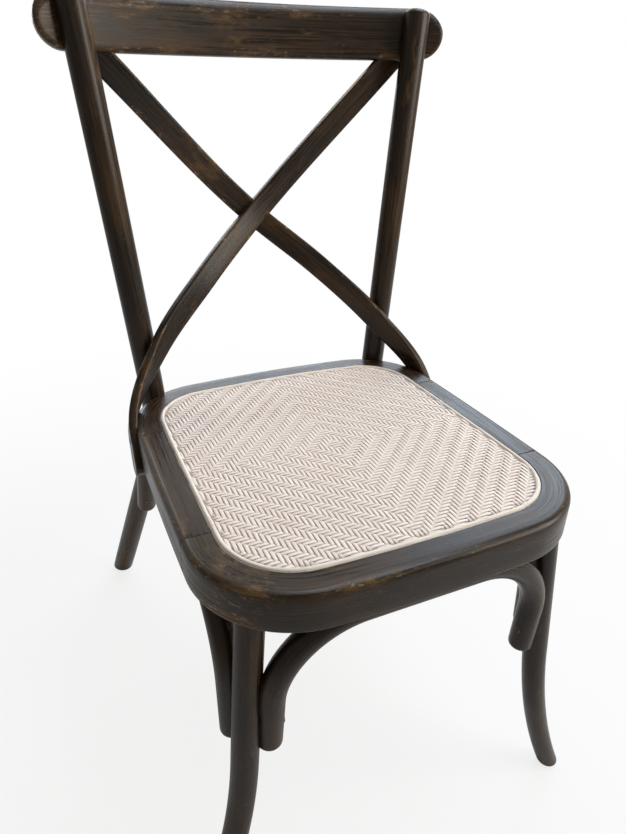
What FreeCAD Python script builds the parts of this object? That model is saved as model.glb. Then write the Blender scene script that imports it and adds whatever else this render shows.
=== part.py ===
import FreeCAD, Part
import math
import os
import Sketcher

# Cross back dining chair: a fixed chair in dark stained wood with a woven seat.
# Frame of the model: millimetres, +Z up, +X to the right of someone who faces the
# chair's front, and the front towards -Y. The origin is on the floor, at the centre
# of the four feet. "Left" and "right" are as seen from the front.

Vector = FreeCAD.Vector
Placement = FreeCAD.Placement
Rotation = FreeCAD.Rotation

# Driving sizes, in millimetres and degrees. Each one can be changed by itself.
DRIVING = {
    # Seat frame: a rounded trapezoid with bowed sides, a little wider in front
    "seat_height": 460.0,
    "seat_centre": -64.5,
    "seat_front_width": 429.0,
    "seat_rear_width": 413.0,
    "seat_depth": 434.0,
    "seat_slope": 3.6,
    "front_bow": 11.0,
    "rear_bow": 14.5,
    "side_bow": 3.7,
    "front_corner": 109.0,
    "rear_corner": 100.0,
    "frame_thick": 43.0,
    "frame_band": 50.0,
    "top_edge": 5.0,
    "under_edge": 2.5,
    "front_seam": 106.0,
    "rear_seam": 106.0,
    "dowel_diameter": 8.0,
    "dowel_length": 50.0,
    "dowel_spacing": 18.0,
    "dowel_inset": 24.0,
    "dowel_depth": 24.0,
    # Woven seat and the reed that locks its edge
    "spline_inset": 31.5,
    "spline_width": 6.0,
    "spline_depth": 7.0,
    "spline_proud": 1.5,
    "panel_thick": 3.0,
    "panel_proud": 0.5,
    # Front legs: turned, tapered, with feet that kick outwards
    "front_foot_width": 497.0,
    "foot_depth": 599.0,
    "front_leg_inset": 16.7,
    "front_leg_angle": 46.0,
    "front_leg_top": 30.0,
    "front_leg_foot": 28.0,
    "foot_kick": 42.5,
    "kick_height": 228.0,
    "tenon_diameter": 20.0,
    "tenon_length": 28.0,
    "foot_round": 4.0,
    # Rear legs: one bent round member each, from the foot to the top of the back
    "rear_foot_width": 455.0,
    "post_diameter": 32.0,
    "post_height": 886.0,
    "post_top_width": 420.0,
    "post_top_back": 194.0,
    "knee_width": 331.0,
    "knee_back": 147.0,
    "knee_height": 378.0,
    "knee_bend": 260.0,
    "post_dome": 7.0,
    # Top rail: curved in plan, full round ends, let into the backs of the posts
    "rail_length": 497.0,
    "rail_tall": 59.0,
    "rail_thick": 26.0,
    "rail_curve": 680.0,
    "rail_back": 231.0,
    "rail_height": 860.5,
    "rail_edge": 6.0,
    # Crossed slats
    "slat_width": 30.0,
    "slat_thick": 11.0,
    "slat_corner": 2.5,
    "slat_tuck": 10.0,
    "slat_offset": 3.0,
    "slat_house": 3.0,
    "slat_post_house": 2.0,
    "slat_top_inset": 19.0,
    "cross_height": 643.5,
    "cross_back": 222.0,
    "belly_out": 82.5,
    "belly_back": 180.5,
    "belly_height": 576.0,
    "post_pass": 502.0,
    "slat_foot_back": 109.0,
    "slat_foot_drop": 17.0,
    "slat_post_inside": 17.0,
    "slat_hip_back": 16.5,
    "slat_hip_rise": 29.0,
    "slat_shoulder_back": 33.0,
    "slat_shoulder_rise": 47.0,
    # Arch braces under the seat
    "arch_diameter": 28.0,
    "arch_bend": 94.0,
    "arch_foot": 246.0,
    "arch_tip": 5.0,
    "arch_house": 3.0,
    "arch_flat": 1.0,
    "front_arch_draw": 4.0,
    "side_arch_inset": 0.5,
    "rear_arch_aside": 9.0,
    "arch_screw_reach": 60.0,
    "arch_screw_rise": 34.0,
    # Fasteners and glides
    "screw_head": 8.0,
    "screw_shank": 4.0,
    "screw_cone": 2.4,
    "short_screw": 26.0,
    "long_screw": 38.0,
    "cross_screw": 14.0,
    "screw_sink": 1.0,
    "leg_screw_head": 12.0,
    "leg_screw_shank": 6.0,
    "leg_screw_length": 56.0,
    "leg_screw_gap": 18.0,
    "glide_diameter": 20.0,
    "glide_height": 3.0,
}


def circle_through(half_chord, bow):
    """Radius of the arc over a chord of 2 * half_chord that stands bow proud of it."""
    return (half_chord ** 2 + bow ** 2) / (2 * bow)


def corner_centre(centre_a, radius_a, centre_b, radius_b, radius, near):
    """Centre of a corner arc that is tangent, from inside, to two larger circles."""
    reach_a = radius_a - radius
    reach_b = radius_b - radius
    span = centre_b - centre_a
    gap = span.Length
    along = (reach_a ** 2 - reach_b ** 2 + gap ** 2) / (2 * gap)
    aside = math.sqrt(reach_a ** 2 - along ** 2)
    unit = span / gap
    turned = Vector(-unit.y, unit.x, 0)
    foot = centre_a + unit * along
    choices = [foot + turned * aside, foot - turned * aside]
    return min(choices, key=lambda point: (point - near).Length)


def worked_out(size):
    """Sizes that follow from the driving ones."""
    found = {}
    half_front = size["seat_front_width"] / 2
    half_rear = size["seat_rear_width"] / 2
    half_depth = size["seat_depth"] / 2
    found["front_arc"] = circle_through(half_front, size["front_bow"])
    found["front_arc_y"] = found["front_arc"] - half_depth - size["front_bow"]
    found["rear_arc"] = circle_through(half_rear, size["rear_bow"])
    found["rear_arc_y"] = half_depth + size["rear_bow"] - found["rear_arc"]
    taper = half_front - half_rear
    chord = math.hypot(taper, size["seat_depth"])
    found["side_arc"] = circle_through(chord / 2, size["side_bow"])
    inward = found["side_arc"] - size["side_bow"]
    found["side_arc_x"] = (half_front + half_rear) / 2 - size["seat_depth"] / chord * inward
    found["side_arc_y"] = -taper / chord * inward
    found["rake"] = math.degrees(math.atan2(
        size["post_top_back"] - size["knee_back"], size["post_height"] - size["knee_height"]))
    return found


S = dict(DRIVING)
S.update(worked_out(DRIVING))

doc = FreeCAD.newDocument("cross_back_chair")
sheet = doc.addObject("Spreadsheet::Sheet", "Sizes")
for row, (alias, value) in enumerate(S.items(), start=1):
    sheet.set("A%d" % row, alias)
    sheet.set("B%d" % row, repr(value))
    sheet.setAlias("B%d" % row, alias)
doc.recompute()


# Round members are drawn with this many flats, so that the file stays light
ROUND_SIDES = 12
SCREW_SIDES = 6
BEND_CHORDS = 5


def bind(thing, prop, formula):
    """Tie a property to a formula over the sheet's aliases, each written as [alias]."""
    thing.setExpression(prop, formula.replace("[", "Sizes.").replace("]", ""))


def new_body(name):
    return doc.addObject("PartDesign::Body", name)


def new_sketch(body, name, role="XY_Plane", offset=None):
    """A sketch on one of the body's own planes, moved by offset within the body."""
    sketch = body.newObject("Sketcher::SketchObject", name)
    plane = [item for item in body.Origin.OriginFeatures if item.Role == role][0]
    sketch.AttachmentSupport = [(plane, "")]
    sketch.MapMode = "FlatFace"
    if offset is not None:
        sketch.AttachmentOffset = offset
    return sketch


def fix(sketch, formula, kind, *where):
    """Add one dimension to a sketch, from its size as drawn, and tie it to the sheet."""
    if kind == "Radius":
        value = sketch.Geometry[where[0]].Radius
    elif kind == "Diameter":
        value = 2 * sketch.Geometry[where[0]].Radius
    elif kind == "DistanceX":
        value = sketch.getPoint(*where).x
    elif kind == "DistanceY":
        value = sketch.getPoint(*where).y
    index = sketch.addConstraint(Sketcher.Constraint(kind, *where, value))
    bind(sketch, "Constraints[%d]" % index, formula)


def arc(centre, radius, start, end):
    """An arc from one point to another, counterclockwise about its centre."""
    circle = Part.Circle(centre, Vector(0, 0, 1), radius)
    first = math.atan2(start.y - centre.y, start.x - centre.x)
    last = math.atan2(end.y - centre.y, end.x - centre.x)
    if last < first:
        last += 2 * math.pi
    return Part.ArcOfCircle(circle, first, last)


def round_sketch(body, name, formula, drawn, offset=None, role="XY_Plane", sides=ROUND_SIDES):
    """A round section about the sketch's origin, drawn as a regular polygon in a circle."""
    sketch = new_sketch(body, name, role, offset)
    corners = [
        Vector(math.cos(2 * math.pi * step / sides), math.sin(2 * math.pi * step / sides), 0)
        * (drawn / 2) for step in range(sides)]
    for step in range(sides):
        line = Part.LineSegment(corners[step], corners[(step + 1) % sides])
        sketch.addGeometry(line, False)
    sketch.addGeometry(Part.Circle(Vector(), Vector(0, 0, 1), drawn / 2), True)
    sketch.addConstraint(Sketcher.Constraint("Coincident", sides, 3, -1, 1))
    sketch.addConstraint(Sketcher.Constraint("PointOnObject", 0, 1, -1))
    for step in range(sides):
        following = (step + 1) % sides
        sketch.addConstraint(Sketcher.Constraint("Coincident", step, 2, following, 1))
        sketch.addConstraint(Sketcher.Constraint("PointOnObject", step, 1, sides))
        if step:
            sketch.addConstraint(Sketcher.Constraint("Equal", 0, step))
    fix(sketch, formula, "Diameter", sides)
    return sketch


def feature(body, kind, name, profile, **settings):
    """A feature of a body from a sketch; text settings are formulas over the sheet."""
    made = body.newObject("PartDesign::" + kind, name)
    made.Profile = profile
    for prop, value in settings.items():
        if isinstance(value, str) and "[" in value:
            bind(made, prop, value)
        else:
            setattr(made, prop, value)
    doc.recompute()
    return made


def eased(body, name, base, size, wanted):
    """Take off the edges of a feature that pass a test of their shape."""
    made = body.newObject("PartDesign::Chamfer", name)
    chosen = [
        "Edge%d" % (number + 1)
        for number, edge in enumerate(base.Shape.Edges)
        if wanted(edge)
    ]
    made.Base = (base, chosen)
    bind(made, "Size", size)
    doc.recompute()
    return made


def level_edge(height):
    """A test for edges that lie wholly at one height of the body."""
    def test(edge):
        box = edge.BoundBox
        return abs(box.ZMin - height) < 0.001 and abs(box.ZMax - height) < 0.001
    return test


def cut(name, base, tools):
    """A piece with the room for its neighbours taken out of it."""
    tool = tools[0]
    if len(tools) > 1:
        tool = doc.addObject("Part::Compound", name + "_room")
        tool.Links = tools
    made = doc.addObject("Part::Cut", name)
    made.Base = base
    made.Tool = tool
    made.Refine = False
    doc.recompute()
    return made


def placed(thing, base, x_axis, y_axis, z_axis):
    """Stand a body in the chair by its origin and its three axes."""
    matrix = FreeCAD.Matrix(
        x_axis.x, y_axis.x, z_axis.x, base.x,
        x_axis.y, y_axis.y, z_axis.y, base.y,
        x_axis.z, y_axis.z, z_axis.z, base.z,
        0, 0, 0, 1)
    thing.Placement = Placement(matrix)
    return thing


def unit(vector):
    return vector / vector.Length


# Seat frame. Its own frame has its origin at the middle of its top face, level with
# the straight edges' ends, and the whole leans back by the seat's slope.
SLOPE = math.radians(S["seat_slope"])
HALF_DEPTH = S["seat_depth"] / 2
SEAT = Placement(
    Vector(0, S["seat_centre"], S["seat_height"] - HALF_DEPTH * math.sin(SLOPE)),
    Rotation(Vector(1, 0, 0), -S["seat_slope"]))

FRONT_CENTRE = Vector(0, S["front_arc_y"], 0)
REAR_CENTRE = Vector(0, S["rear_arc_y"], 0)
SIDE_CENTRE = Vector(S["side_arc_x"], S["side_arc_y"], 0)
FRONT_CORNER = corner_centre(
    FRONT_CENTRE, S["front_arc"], SIDE_CENTRE, S["side_arc"], S["front_corner"],
    Vector(S["seat_front_width"] / 2, -HALF_DEPTH, 0))
REAR_CORNER = corner_centre(
    REAR_CENTRE, S["rear_arc"], SIDE_CENTRE, S["side_arc"], S["rear_corner"],
    Vector(S["seat_rear_width"] / 2, HALF_DEPTH, 0))


def mirrored(point):
    return Vector(-point.x, point.y, point.z)


def meeting(large_centre, large_radius, small_centre):
    """Where a corner arc meets the larger arc that it is tangent to."""
    return large_centre + unit(small_centre - large_centre) * large_radius


def seat_outline(sketch, *insets):
    """Draw the seat's outline, set in from the frame's edge, as eight tangent arcs."""
    depth = sum(S[alias] for alias in insets)
    front = meeting(FRONT_CENTRE, S["front_arc"] - depth, FRONT_CORNER)
    front_side = meeting(SIDE_CENTRE, S["side_arc"] - depth, FRONT_CORNER)
    rear_side = meeting(SIDE_CENTRE, S["side_arc"] - depth, REAR_CORNER)
    rear = meeting(REAR_CENTRE, S["rear_arc"] - depth, REAR_CORNER)
    side = S["side_arc"] - depth
    start = sketch.GeometryCount
    sketch.addGeometry([
        arc(FRONT_CENTRE, S["front_arc"] - depth, mirrored(front), front),
        arc(FRONT_CORNER, S["front_corner"] - depth, front, front_side),
        arc(SIDE_CENTRE, side, front_side, rear_side),
        arc(REAR_CORNER, S["rear_corner"] - depth, rear_side, rear),
        arc(REAR_CENTRE, S["rear_arc"] - depth, rear, mirrored(rear)),
        arc(mirrored(REAR_CORNER), S["rear_corner"] - depth, mirrored(rear), mirrored(rear_side)),
        arc(mirrored(SIDE_CENTRE), side, mirrored(rear_side), mirrored(front_side)),
        arc(mirrored(FRONT_CORNER), S["front_corner"] - depth, mirrored(front_side), mirrored(front)),
    ], False)
    for step in range(8):
        following = (step + 1) % 8
        sketch.addConstraint(
            Sketcher.Constraint("Tangent", start + step, 2, start + following, 1))
    less = "".join(" - [%s]" % alias for alias in insets)
    radii = ["front_arc", "front_corner", "side_arc", "rear_corner",
             "rear_arc", "rear_corner", "side_arc", "front_corner"]
    for step, alias in enumerate(radii):
        fix(sketch, "[" + alias + "]" + less, "Radius", start + step)
    for step, alias in ((0, "front_arc_y"), (4, "rear_arc_y")):
        sketch.addConstraint(Sketcher.Constraint("PointOnObject", start + step, 3, -2))
        fix(sketch, "[" + alias + "]", "DistanceY", start + step, 3)
    for step, sign in ((2, ""), (6, "-")):
        fix(sketch, sign + "[side_arc_x]", "DistanceX", start + step, 3)
        fix(sketch, "[side_arc_y]", "DistanceY", start + step, 3)
    return sketch


def seat_ring():
    """The whole frame as one ring, before it is parted at its four seams."""
    body = new_body("seat_ring")
    outline = seat_outline(new_sketch(body, "RingOutline"))
    slab = feature(body, "Pad", "RingSlab", outline, Length="[frame_thick]", Reversed=True)
    topped = eased(body, "RingTopEdge", slab, "[top_edge]", level_edge(0))
    eased(body, "RingUnderEdge", topped, "[under_edge]", level_edge(-S["frame_thick"]))
    opening = seat_outline(new_sketch(body, "RingOpening"), "frame_band")
    feature(body, "Pocket", "RingHole", opening, Type="ThroughAll")
    ledge = seat_outline(new_sketch(body, "RingLedge"), "spline_inset", "spline_width")
    feature(body, "Pocket", "RingRebate", ledge, Length="[panel_thick] - [panel_proud]")
    groove = new_sketch(body, "RingGroove")
    seat_outline(groove, "spline_inset")
    seat_outline(groove, "spline_inset", "spline_width")
    feature(body, "Pocket", "RingSplineGroove", groove, Length="[spline_depth]")
    body.Placement = SEAT
    return body


def seat_box(name, low, high):
    """A plain box in the seat's own frame, for parting and levelling."""
    box = doc.addObject("Part::Box", name)
    box.Length = high.x - low.x
    box.Width = high.y - low.y
    box.Height = high.z - low.z
    box.Placement = SEAT.multiply(Placement(low, Rotation()))
    return box


def underside(y):
    """Height of the frame's underside at a distance back from the origin."""
    run = y - S["seat_centre"]
    return SEAT.Base.z - run * math.tan(SLOPE) - S["frame_thick"] / math.cos(SLOPE)


def turned(name, levels, sides=ROUND_SIDES):
    """A straight turned body about its own Z, from diameters at heights."""
    body = new_body(name)
    rings = []
    for number, (diameter, height) in enumerate(levels):
        offset = Placement(Vector(0, 0, height), Rotation())
        ring_name = "%s_ring%d" % (name, number)
        sketch = round_sketch(body, ring_name, repr(diameter), diameter, offset, sides=sides)
        rings.append(sketch)
    feature(body, "AdditiveLoft", name + "_loft", rings[0], Sections=rings[1:], Ruled=True)
    return body


def with_foot(name, leg, spot, diameter):
    """A leg cut level above its glide, with the edge of its foot eased."""
    low = S["glide_height"]
    soft = S["foot_round"]
    high = S["post_height"]
    room = turned(name + "_foot_room", [
        (diameter - 2 * soft, low), (diameter - soft * 0.6, low + soft * 0.3),
        (diameter, low + soft), (diameter + 2 * high, low + soft + high)])
    room.Placement = Placement(spot, Rotation())
    made = doc.addObject("Part::Common", name + "_footed")
    made.Base = leg
    made.Tool = room
    doc.recompute()
    return made


# Front legs. A straight tapered leg that leans outwards, with a foot that kicks out.
LEG_REACH = S["front_corner"] - S["front_leg_inset"]
LEG_TURN = math.radians(S["front_leg_angle"])
LEG_TOP = Vector(
    FRONT_CORNER.x + LEG_REACH * math.sin(LEG_TURN),
    S["seat_centre"] + FRONT_CORNER.y - LEG_REACH * math.cos(LEG_TURN), 0)
LEG_TOP.z = underside(LEG_TOP.y)
FOOT = Vector(S["front_foot_width"] / 2, -S["foot_depth"] / 2, 0)


def front_leg_axis(height):
    """Centre of the right front leg at a height."""
    share = height / LEG_TOP.z
    low = FOOT - Vector(S["foot_kick"], 0, 0)
    point = low + (Vector(LEG_TOP.x, LEG_TOP.y, 0) - low) * share
    if height < S["kick_height"]:
        point += Vector(S["foot_kick"] * (1 - height / S["kick_height"]) ** 2, 0, 0)
    return Vector(point.x, point.y, height)


def front_leg(name, side, above_frame, tools):
    """A turned leg: its shaft, levelled under the frame, and the tenon on top."""
    body = new_body(name + "_shaft")
    body.Placement = Placement(Vector(side * FOOT.x, FOOT.y, 0), Rotation())
    floor = S["glide_height"]
    kick = S["kick_height"]
    top = LEG_TOP.z + S["under_edge"]
    heights = [floor] + [kick * step / 5 for step in range(1, 6)] + [top]
    rings = []
    for number, height in enumerate(heights):
        centre = front_leg_axis(height) - FOOT
        share = height / LEG_TOP.z
        drawn = S["front_leg_foot"] + (S["front_leg_top"] - S["front_leg_foot"]) * share
        formula = "[front_leg_foot] + ([front_leg_top] - [front_leg_foot]) * %r" % share
        offset = Placement(Vector(side * centre.x, centre.y, height), Rotation())
        rings.append(round_sketch(body, "%s_ring%d" % (name, number), formula, drawn, offset))
    feature(body, "AdditiveLoft", name + "_loft", rings[0], Sections=rings[1:], Ruled=True)
    spot = front_leg_axis(floor)
    footed = with_foot(name, body, Vector(side * spot.x, spot.y, 0), S["front_leg_foot"])
    shaft = cut(name + "_levelled", footed, [above_frame])
    peg = doc.addObject("Part::Prism", name + "_tenon")
    peg.Polygon = ROUND_SIDES
    bind(peg, "Circumradius", "[tenon_diameter] / 2")
    bind(peg, "Height", "[tenon_length] + [under_edge]")
    base = Vector(side * LEG_TOP.x, LEG_TOP.y, LEG_TOP.z - S["under_edge"])
    peg.Placement = Placement(base, Rotation())
    whole = doc.addObject("Part::Fuse", name + "_whole")
    whole.Base = shaft
    whole.Tool = peg
    return cut(name, whole, tools)


# Rear legs. Each runs in one plane: straight from the top to a knee at the seat,
# round a bend, and straight on to the foot, which sweeps back and out.
POST_TOP = Vector(S["post_top_width"] / 2, S["post_top_back"], S["post_height"])
KNEE = Vector(S["knee_width"] / 2, S["knee_back"], S["knee_height"])
REAR_FOOT = Vector(S["rear_foot_width"] / 2, S["foot_depth"] / 2, 0)
UPWARD = unit(POST_TOP - KNEE)
DOWNWARD = unit(REAR_FOOT - KNEE)
KNEE_TURN = math.pi - UPWARD.getAngle(DOWNWARD)


def post_axis(height):
    """Centre of the right post at a height above the knee."""
    share = (height - KNEE.z) / (POST_TOP.z - KNEE.z)
    return KNEE + (POST_TOP - KNEE) * share


def rear_leg_axis(height):
    """Centre of the right rear leg at a height below the knee."""
    share = (KNEE.z - height) / KNEE.z
    return KNEE + (REAR_FOOT - KNEE) * share


def polyline_path(sketch, points, bends):
    """Straight runs joined by tangent arcs that all turn left, through given points."""
    pieces = []
    start = points[0]
    for number, bend in enumerate(bends, start=1):
        before = unit(points[number] - points[number - 1])
        after = unit(points[number + 1] - points[number])
        turn = before.getAngle(after)
        reach = bend * math.tan(turn / 2)
        enter = points[number] - before * reach
        leave = points[number] + after * reach
        inner = unit(after - before)
        middle = points[number] + inner * (bend / math.cos(turn / 2) - bend)
        pieces.append(Part.LineSegment(start, enter))
        pieces.append(Part.Arc(enter, middle, leave))
        start = leave
    pieces.append(Part.LineSegment(start, points[-1]))
    sketch.addGeometry(pieces, False)


def rear_leg(name, side, tools):
    """A bent round member with a domed top, with room for all that it carries."""
    body = new_body(name + "_rod")
    z_axis = Vector(side * UPWARD.x, UPWARD.y, UPWARD.z)
    fall = Vector(side * DOWNWARD.x, DOWNWARD.y, DOWNWARD.z)
    x_axis = unit(fall - z_axis * fall.dot(z_axis))
    knee = Vector(side * KNEE.x, KNEE.y, KNEE.z)
    placed(body, knee, x_axis, z_axis.cross(x_axis), z_axis)
    rise = (POST_TOP - KNEE).Length
    drop = (REAR_FOOT - KNEE).Length + S["post_diameter"]
    top = Vector(0, rise, 0)
    foot = Vector(drop * math.sin(KNEE_TURN), -drop * math.cos(KNEE_TURN), 0)
    path = new_sketch(body, name + "_path", "XZ_Plane")
    polyline_path(path, [top, Vector(), foot], [S["knee_bend"]])
    for first, second in ((0, 1), (1, 2)):
        path.addConstraint(Sketcher.Constraint("Tangent", first, 2, second, 1))
    path.addConstraint(Sketcher.Constraint("PointOnObject", 0, 1, -2))
    path.addConstraint(Sketcher.Constraint("Vertical", 0))
    fix(path, "[knee_bend]", "Radius", 1)
    for point in ((0, 1), (0, 2), (2, 2)):
        value = path.getPoint(*point).y
        path.addConstraint(Sketcher.Constraint("DistanceY", *point, value))
    path.addConstraint(Sketcher.Constraint("DistanceX", 2, 2, foot.x))
    ring_place = Placement(Vector(0, 0, rise), Rotation())
    section = round_sketch(
        body, name + "_section", "[post_diameter]", S["post_diameter"], ring_place)
    rod = feature(body, "AdditivePipe", name + "_pipe", section, Spine=(path, []))
    eased(body, name + "_dome", rod, "[post_dome]", level_edge(rise))
    spot = rear_leg_axis(S["glide_height"])
    footed = with_foot(name, body, Vector(side * spot.x, spot.y, 0), S["post_diameter"])
    return cut(name, footed, tools)


# Top rail. Its own frame has its origin on its front face, at the middle.
RAKE = math.radians(S["rake"])
RAIL = Placement(
    Vector(0, S["rail_back"], S["rail_height"]), Rotation(Vector(1, 0, 0), -S["rake"]))


def rail_face(x):
    """How far forward of its middle the rail's front face lies, at a distance out."""
    return math.sqrt(S["rail_curve"] ** 2 - x ** 2) - S["rail_curve"]


def rail_blank():
    """A curved rail with full round ends and softened edges."""
    body = new_body("rail_blank")
    half = S["rail_length"] / 2
    reach = half + S["rail_tall"]
    outer = S["rail_curve"] + S["rail_thick"]
    centre = Vector(0, -S["rail_curve"], 0)
    low = rail_face(reach)
    high = math.sqrt(outer ** 2 - reach ** 2) - S["rail_curve"]
    plan = new_sketch(body, "RailPlan")
    plan.addGeometry([
        arc(centre, outer, Vector(reach, high, 0), Vector(-reach, high, 0)),
        Part.LineSegment(Vector(-reach, high, 0), Vector(-reach, low, 0)),
        arc(centre, S["rail_curve"], Vector(reach, low, 0), Vector(-reach, low, 0)),
        Part.LineSegment(Vector(reach, low, 0), Vector(reach, high, 0)),
    ], False)
    for one, end, other, start in ((0, 2, 1, 1), (1, 2, 2, 2), (2, 1, 3, 1), (3, 2, 0, 1)):
        plan.addConstraint(Sketcher.Constraint("Coincident", one, end, other, start))
    plan.addConstraint(Sketcher.Constraint("Vertical", 1))
    plan.addConstraint(Sketcher.Constraint("Vertical", 3))
    plan.addConstraint(Sketcher.Constraint("Coincident", 0, 3, 2, 3))
    plan.addConstraint(Sketcher.Constraint("PointOnObject", 0, 3, -2))
    fix(plan, "-[rail_curve]", "DistanceY", 0, 3)
    fix(plan, "[rail_curve]", "Radius", 2)
    fix(plan, "[rail_curve] + [rail_thick]", "Radius", 0)
    fix(plan, "[rail_length] / 2 + [rail_tall]", "DistanceX", 3, 1)
    fix(plan, "-[rail_length] / 2 - [rail_tall]", "DistanceX", 1, 1)
    bar = feature(body, "Pad", "RailBar", plan, Length="[rail_tall]", SideType="Symmetric")
    front = new_sketch(body, "RailEnds", "XZ_Plane")
    tall = S["rail_tall"] / 2
    flat = half - tall
    far = reach + tall
    front.addGeometry([
        Part.LineSegment(Vector(-flat, -tall, 0), Vector(flat, -tall, 0)),
        arc(Vector(flat, 0, 0), tall, Vector(flat, -tall, 0), Vector(flat, tall, 0)),
        Part.LineSegment(Vector(flat, tall, 0), Vector(-flat, tall, 0)),
        arc(Vector(-flat, 0, 0), tall, Vector(-flat, tall, 0), Vector(-flat, -tall, 0)),
        Part.LineSegment(Vector(-far, -far, 0), Vector(far, -far, 0)),
        Part.LineSegment(Vector(far, -far, 0), Vector(far, far, 0)),
        Part.LineSegment(Vector(far, far, 0), Vector(-far, far, 0)),
        Part.LineSegment(Vector(-far, far, 0), Vector(-far, -far, 0)),
    ], False)
    for first in range(4):
        following = (first + 1) % 4
        front.addConstraint(Sketcher.Constraint("Tangent", first, 2, following, 1))
        front.addConstraint(
            Sketcher.Constraint("Coincident", 4 + first, 2, 4 + following, 1))
    front.addConstraint(Sketcher.Constraint("Horizontal", 0))
    front.addConstraint(Sketcher.Constraint("PointOnObject", 1, 3, -1))
    fix(front, "[rail_tall] / 2", "Radius", 1)
    fix(front, "([rail_length] - [rail_tall]) / 2", "DistanceX", 1, 3)
    fix(front, "([rail_tall] - [rail_length]) / 2", "DistanceX", 3, 3)
    ends = feature(
        body, "Pocket", "RailTrim", front, Type="ThroughAll", SideType="Symmetric")

    def long_edge(edge):
        """Edges that follow the front or the back face, all round the rail."""
        points = [edge.valueAt(share) for share in (
            edge.FirstParameter, (edge.FirstParameter + edge.LastParameter) / 2)]
        for radius in (S["rail_curve"], outer):
            if all(abs(math.hypot(p.x, p.y - centre.y) - radius) < 0.01 for p in points):
                return True
        return False

    eased(body, "RailEdges", ends, "[rail_edge]", long_edge)
    body.Placement = RAIL
    return body


# Crossed slats. One route, mirrored for the other slat: from a tuck in the rail's
# underside beside one post, past the middle, in front of the other post, and down
# the outside of the seat frame. The front slat falls to the left.
SLAT_BEND = 90.0


def frame_side(y):
    """How far out the seat frame's edge is, at a distance back from the origin."""
    run = (y - S["seat_centre"]) / math.cos(SLOPE)
    corner_run = run - REAR_CORNER.y
    if corner_run <= 0:
        drop = run - SIDE_CENTRE.y
        return SIDE_CENTRE.x + math.sqrt(S["side_arc"] ** 2 - drop ** 2)
    return REAR_CORNER.x + math.sqrt(S["rear_corner"] ** 2 - corner_run ** 2)


def slat_route(shift):
    """Points of the front slat's centre line; shift moves its middle back or forward."""
    half = S["slat_thick"] / 2
    under = S["rail_height"] - S["rail_tall"] / 2
    post = post_axis(under)
    tuck_x = post.x - S["slat_top_inset"]
    tuck_y = S["rail_back"] + rail_face(tuck_x) + S["rail_thick"] / 2 - S["rail_tall"] / 2 * math.tan(RAKE)
    tuck = Vector(tuck_x, tuck_y, under)
    cross = Vector(0, S["cross_back"] + shift, S["cross_height"])
    passing = post_axis(S["post_pass"])
    ahead = S["post_diameter"] / 2 + half - S["slat_post_house"]
    belly = Vector(-S["belly_out"], S["belly_back"] + shift / 2, S["belly_height"])
    front = Vector(S["slat_post_inside"] - passing.x, passing.y - ahead, passing.z)
    foot_y = S["slat_foot_back"] + S["seat_centre"]
    foot_x = frame_side(foot_y) + half - S["slat_house"]
    foot = Vector(-foot_x, foot_y, underside(foot_y) - S["slat_foot_drop"])
    upper = foot + Vector(0, S["slat_hip_back"], S["slat_hip_rise"])
    upper.x = -(frame_side(upper.y) + half - S["slat_house"])
    shoulder = foot + Vector(0, S["slat_shoulder_back"], S["slat_shoulder_rise"])
    shoulder.x = -(frame_side(shoulder.y) + half - S["slat_house"])
    rise = unit(tuck - cross)
    start = tuck + rise * S["slat_tuck"]
    return [start, tuck, cross, belly, front, shoulder, upper, foot]


def slat_stations(shift, count):
    """Places along a slat: centre, width, thickness and length directions."""
    points = slat_route(shift)
    spans = [(end - start).Length for start, end in zip(points, points[1:])]
    marks = [sum(spans[:number]) for number in range(len(points))]
    slopes = [(end - start) / span for start, end, span in zip(points, points[1:], spans)]
    tangents = [slopes[0]]
    for number in range(1, len(slopes)):
        before, after = spans[number - 1], spans[number]
        tangents.append(
            (slopes[number - 1] * after + slopes[number] * before) / (before + after))
    tangents.append(slopes[-1])
    stations = []
    for number in range(count):
        run = marks[-1] * number / (count - 1)
        leg = max(step for step in range(len(spans)) if marks[step] <= run)
        span = spans[leg]
        t = (run - marks[leg]) / span
        centre = (
            points[leg] * (2 * t ** 3 - 3 * t ** 2 + 1)
            + tangents[leg] * (span * (t ** 3 - 2 * t ** 2 + t))
            + points[leg + 1] * (3 * t ** 2 - 2 * t ** 3)
            + tangents[leg + 1] * (span * (t ** 3 - t ** 2)))
        along = unit(
            (points[leg] - points[leg + 1]) * (6 * (t ** 2 - t) / span)
            + tangents[leg] * (3 * t ** 2 - 4 * t + 1)
            + tangents[leg + 1] * (3 * t ** 2 - 2 * t))
        part = min(max((run - marks[3]) / (marks[6] - marks[3]), 0), 1)
        angle = math.radians(SLAT_BEND) * part * part * (3 - 2 * part)
        face = Vector(math.sin(angle), -math.cos(angle), 0)
        face = unit(face - along * face.dot(along))
        stations.append((centre, along.cross(face), face, along))
    return stations


def slat(name, side, shift):
    """A bent, twisted slat with softened corners."""
    body = new_body(name)
    sections = []
    wide = S["slat_width"] / 2
    half = S["slat_thick"] / 2
    soft = S["slat_corner"]
    for number, (centre, width, face, along) in enumerate(slat_stations(shift, 13)):
        if side > 0:
            centre, width, along = mirrored(centre), mirrored(width), mirrored(along)
        y_axis = along.cross(width)
        matrix = FreeCAD.Matrix(
            width.x, y_axis.x, along.x, centre.x,
            width.y, y_axis.y, along.y, centre.y,
            width.z, y_axis.z, along.z, centre.z,
            0, 0, 0, 1)
        sketch = new_sketch(body, "%s_section%d" % (name, number), "XY_Plane", Placement(matrix))
        strip_section(sketch, wide, half, soft)
        sections.append(sketch)
    feature(
        body, "AdditiveLoft", name + "_loft", sections[0], Sections=sections[1:], Ruled=True)
    return body


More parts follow.
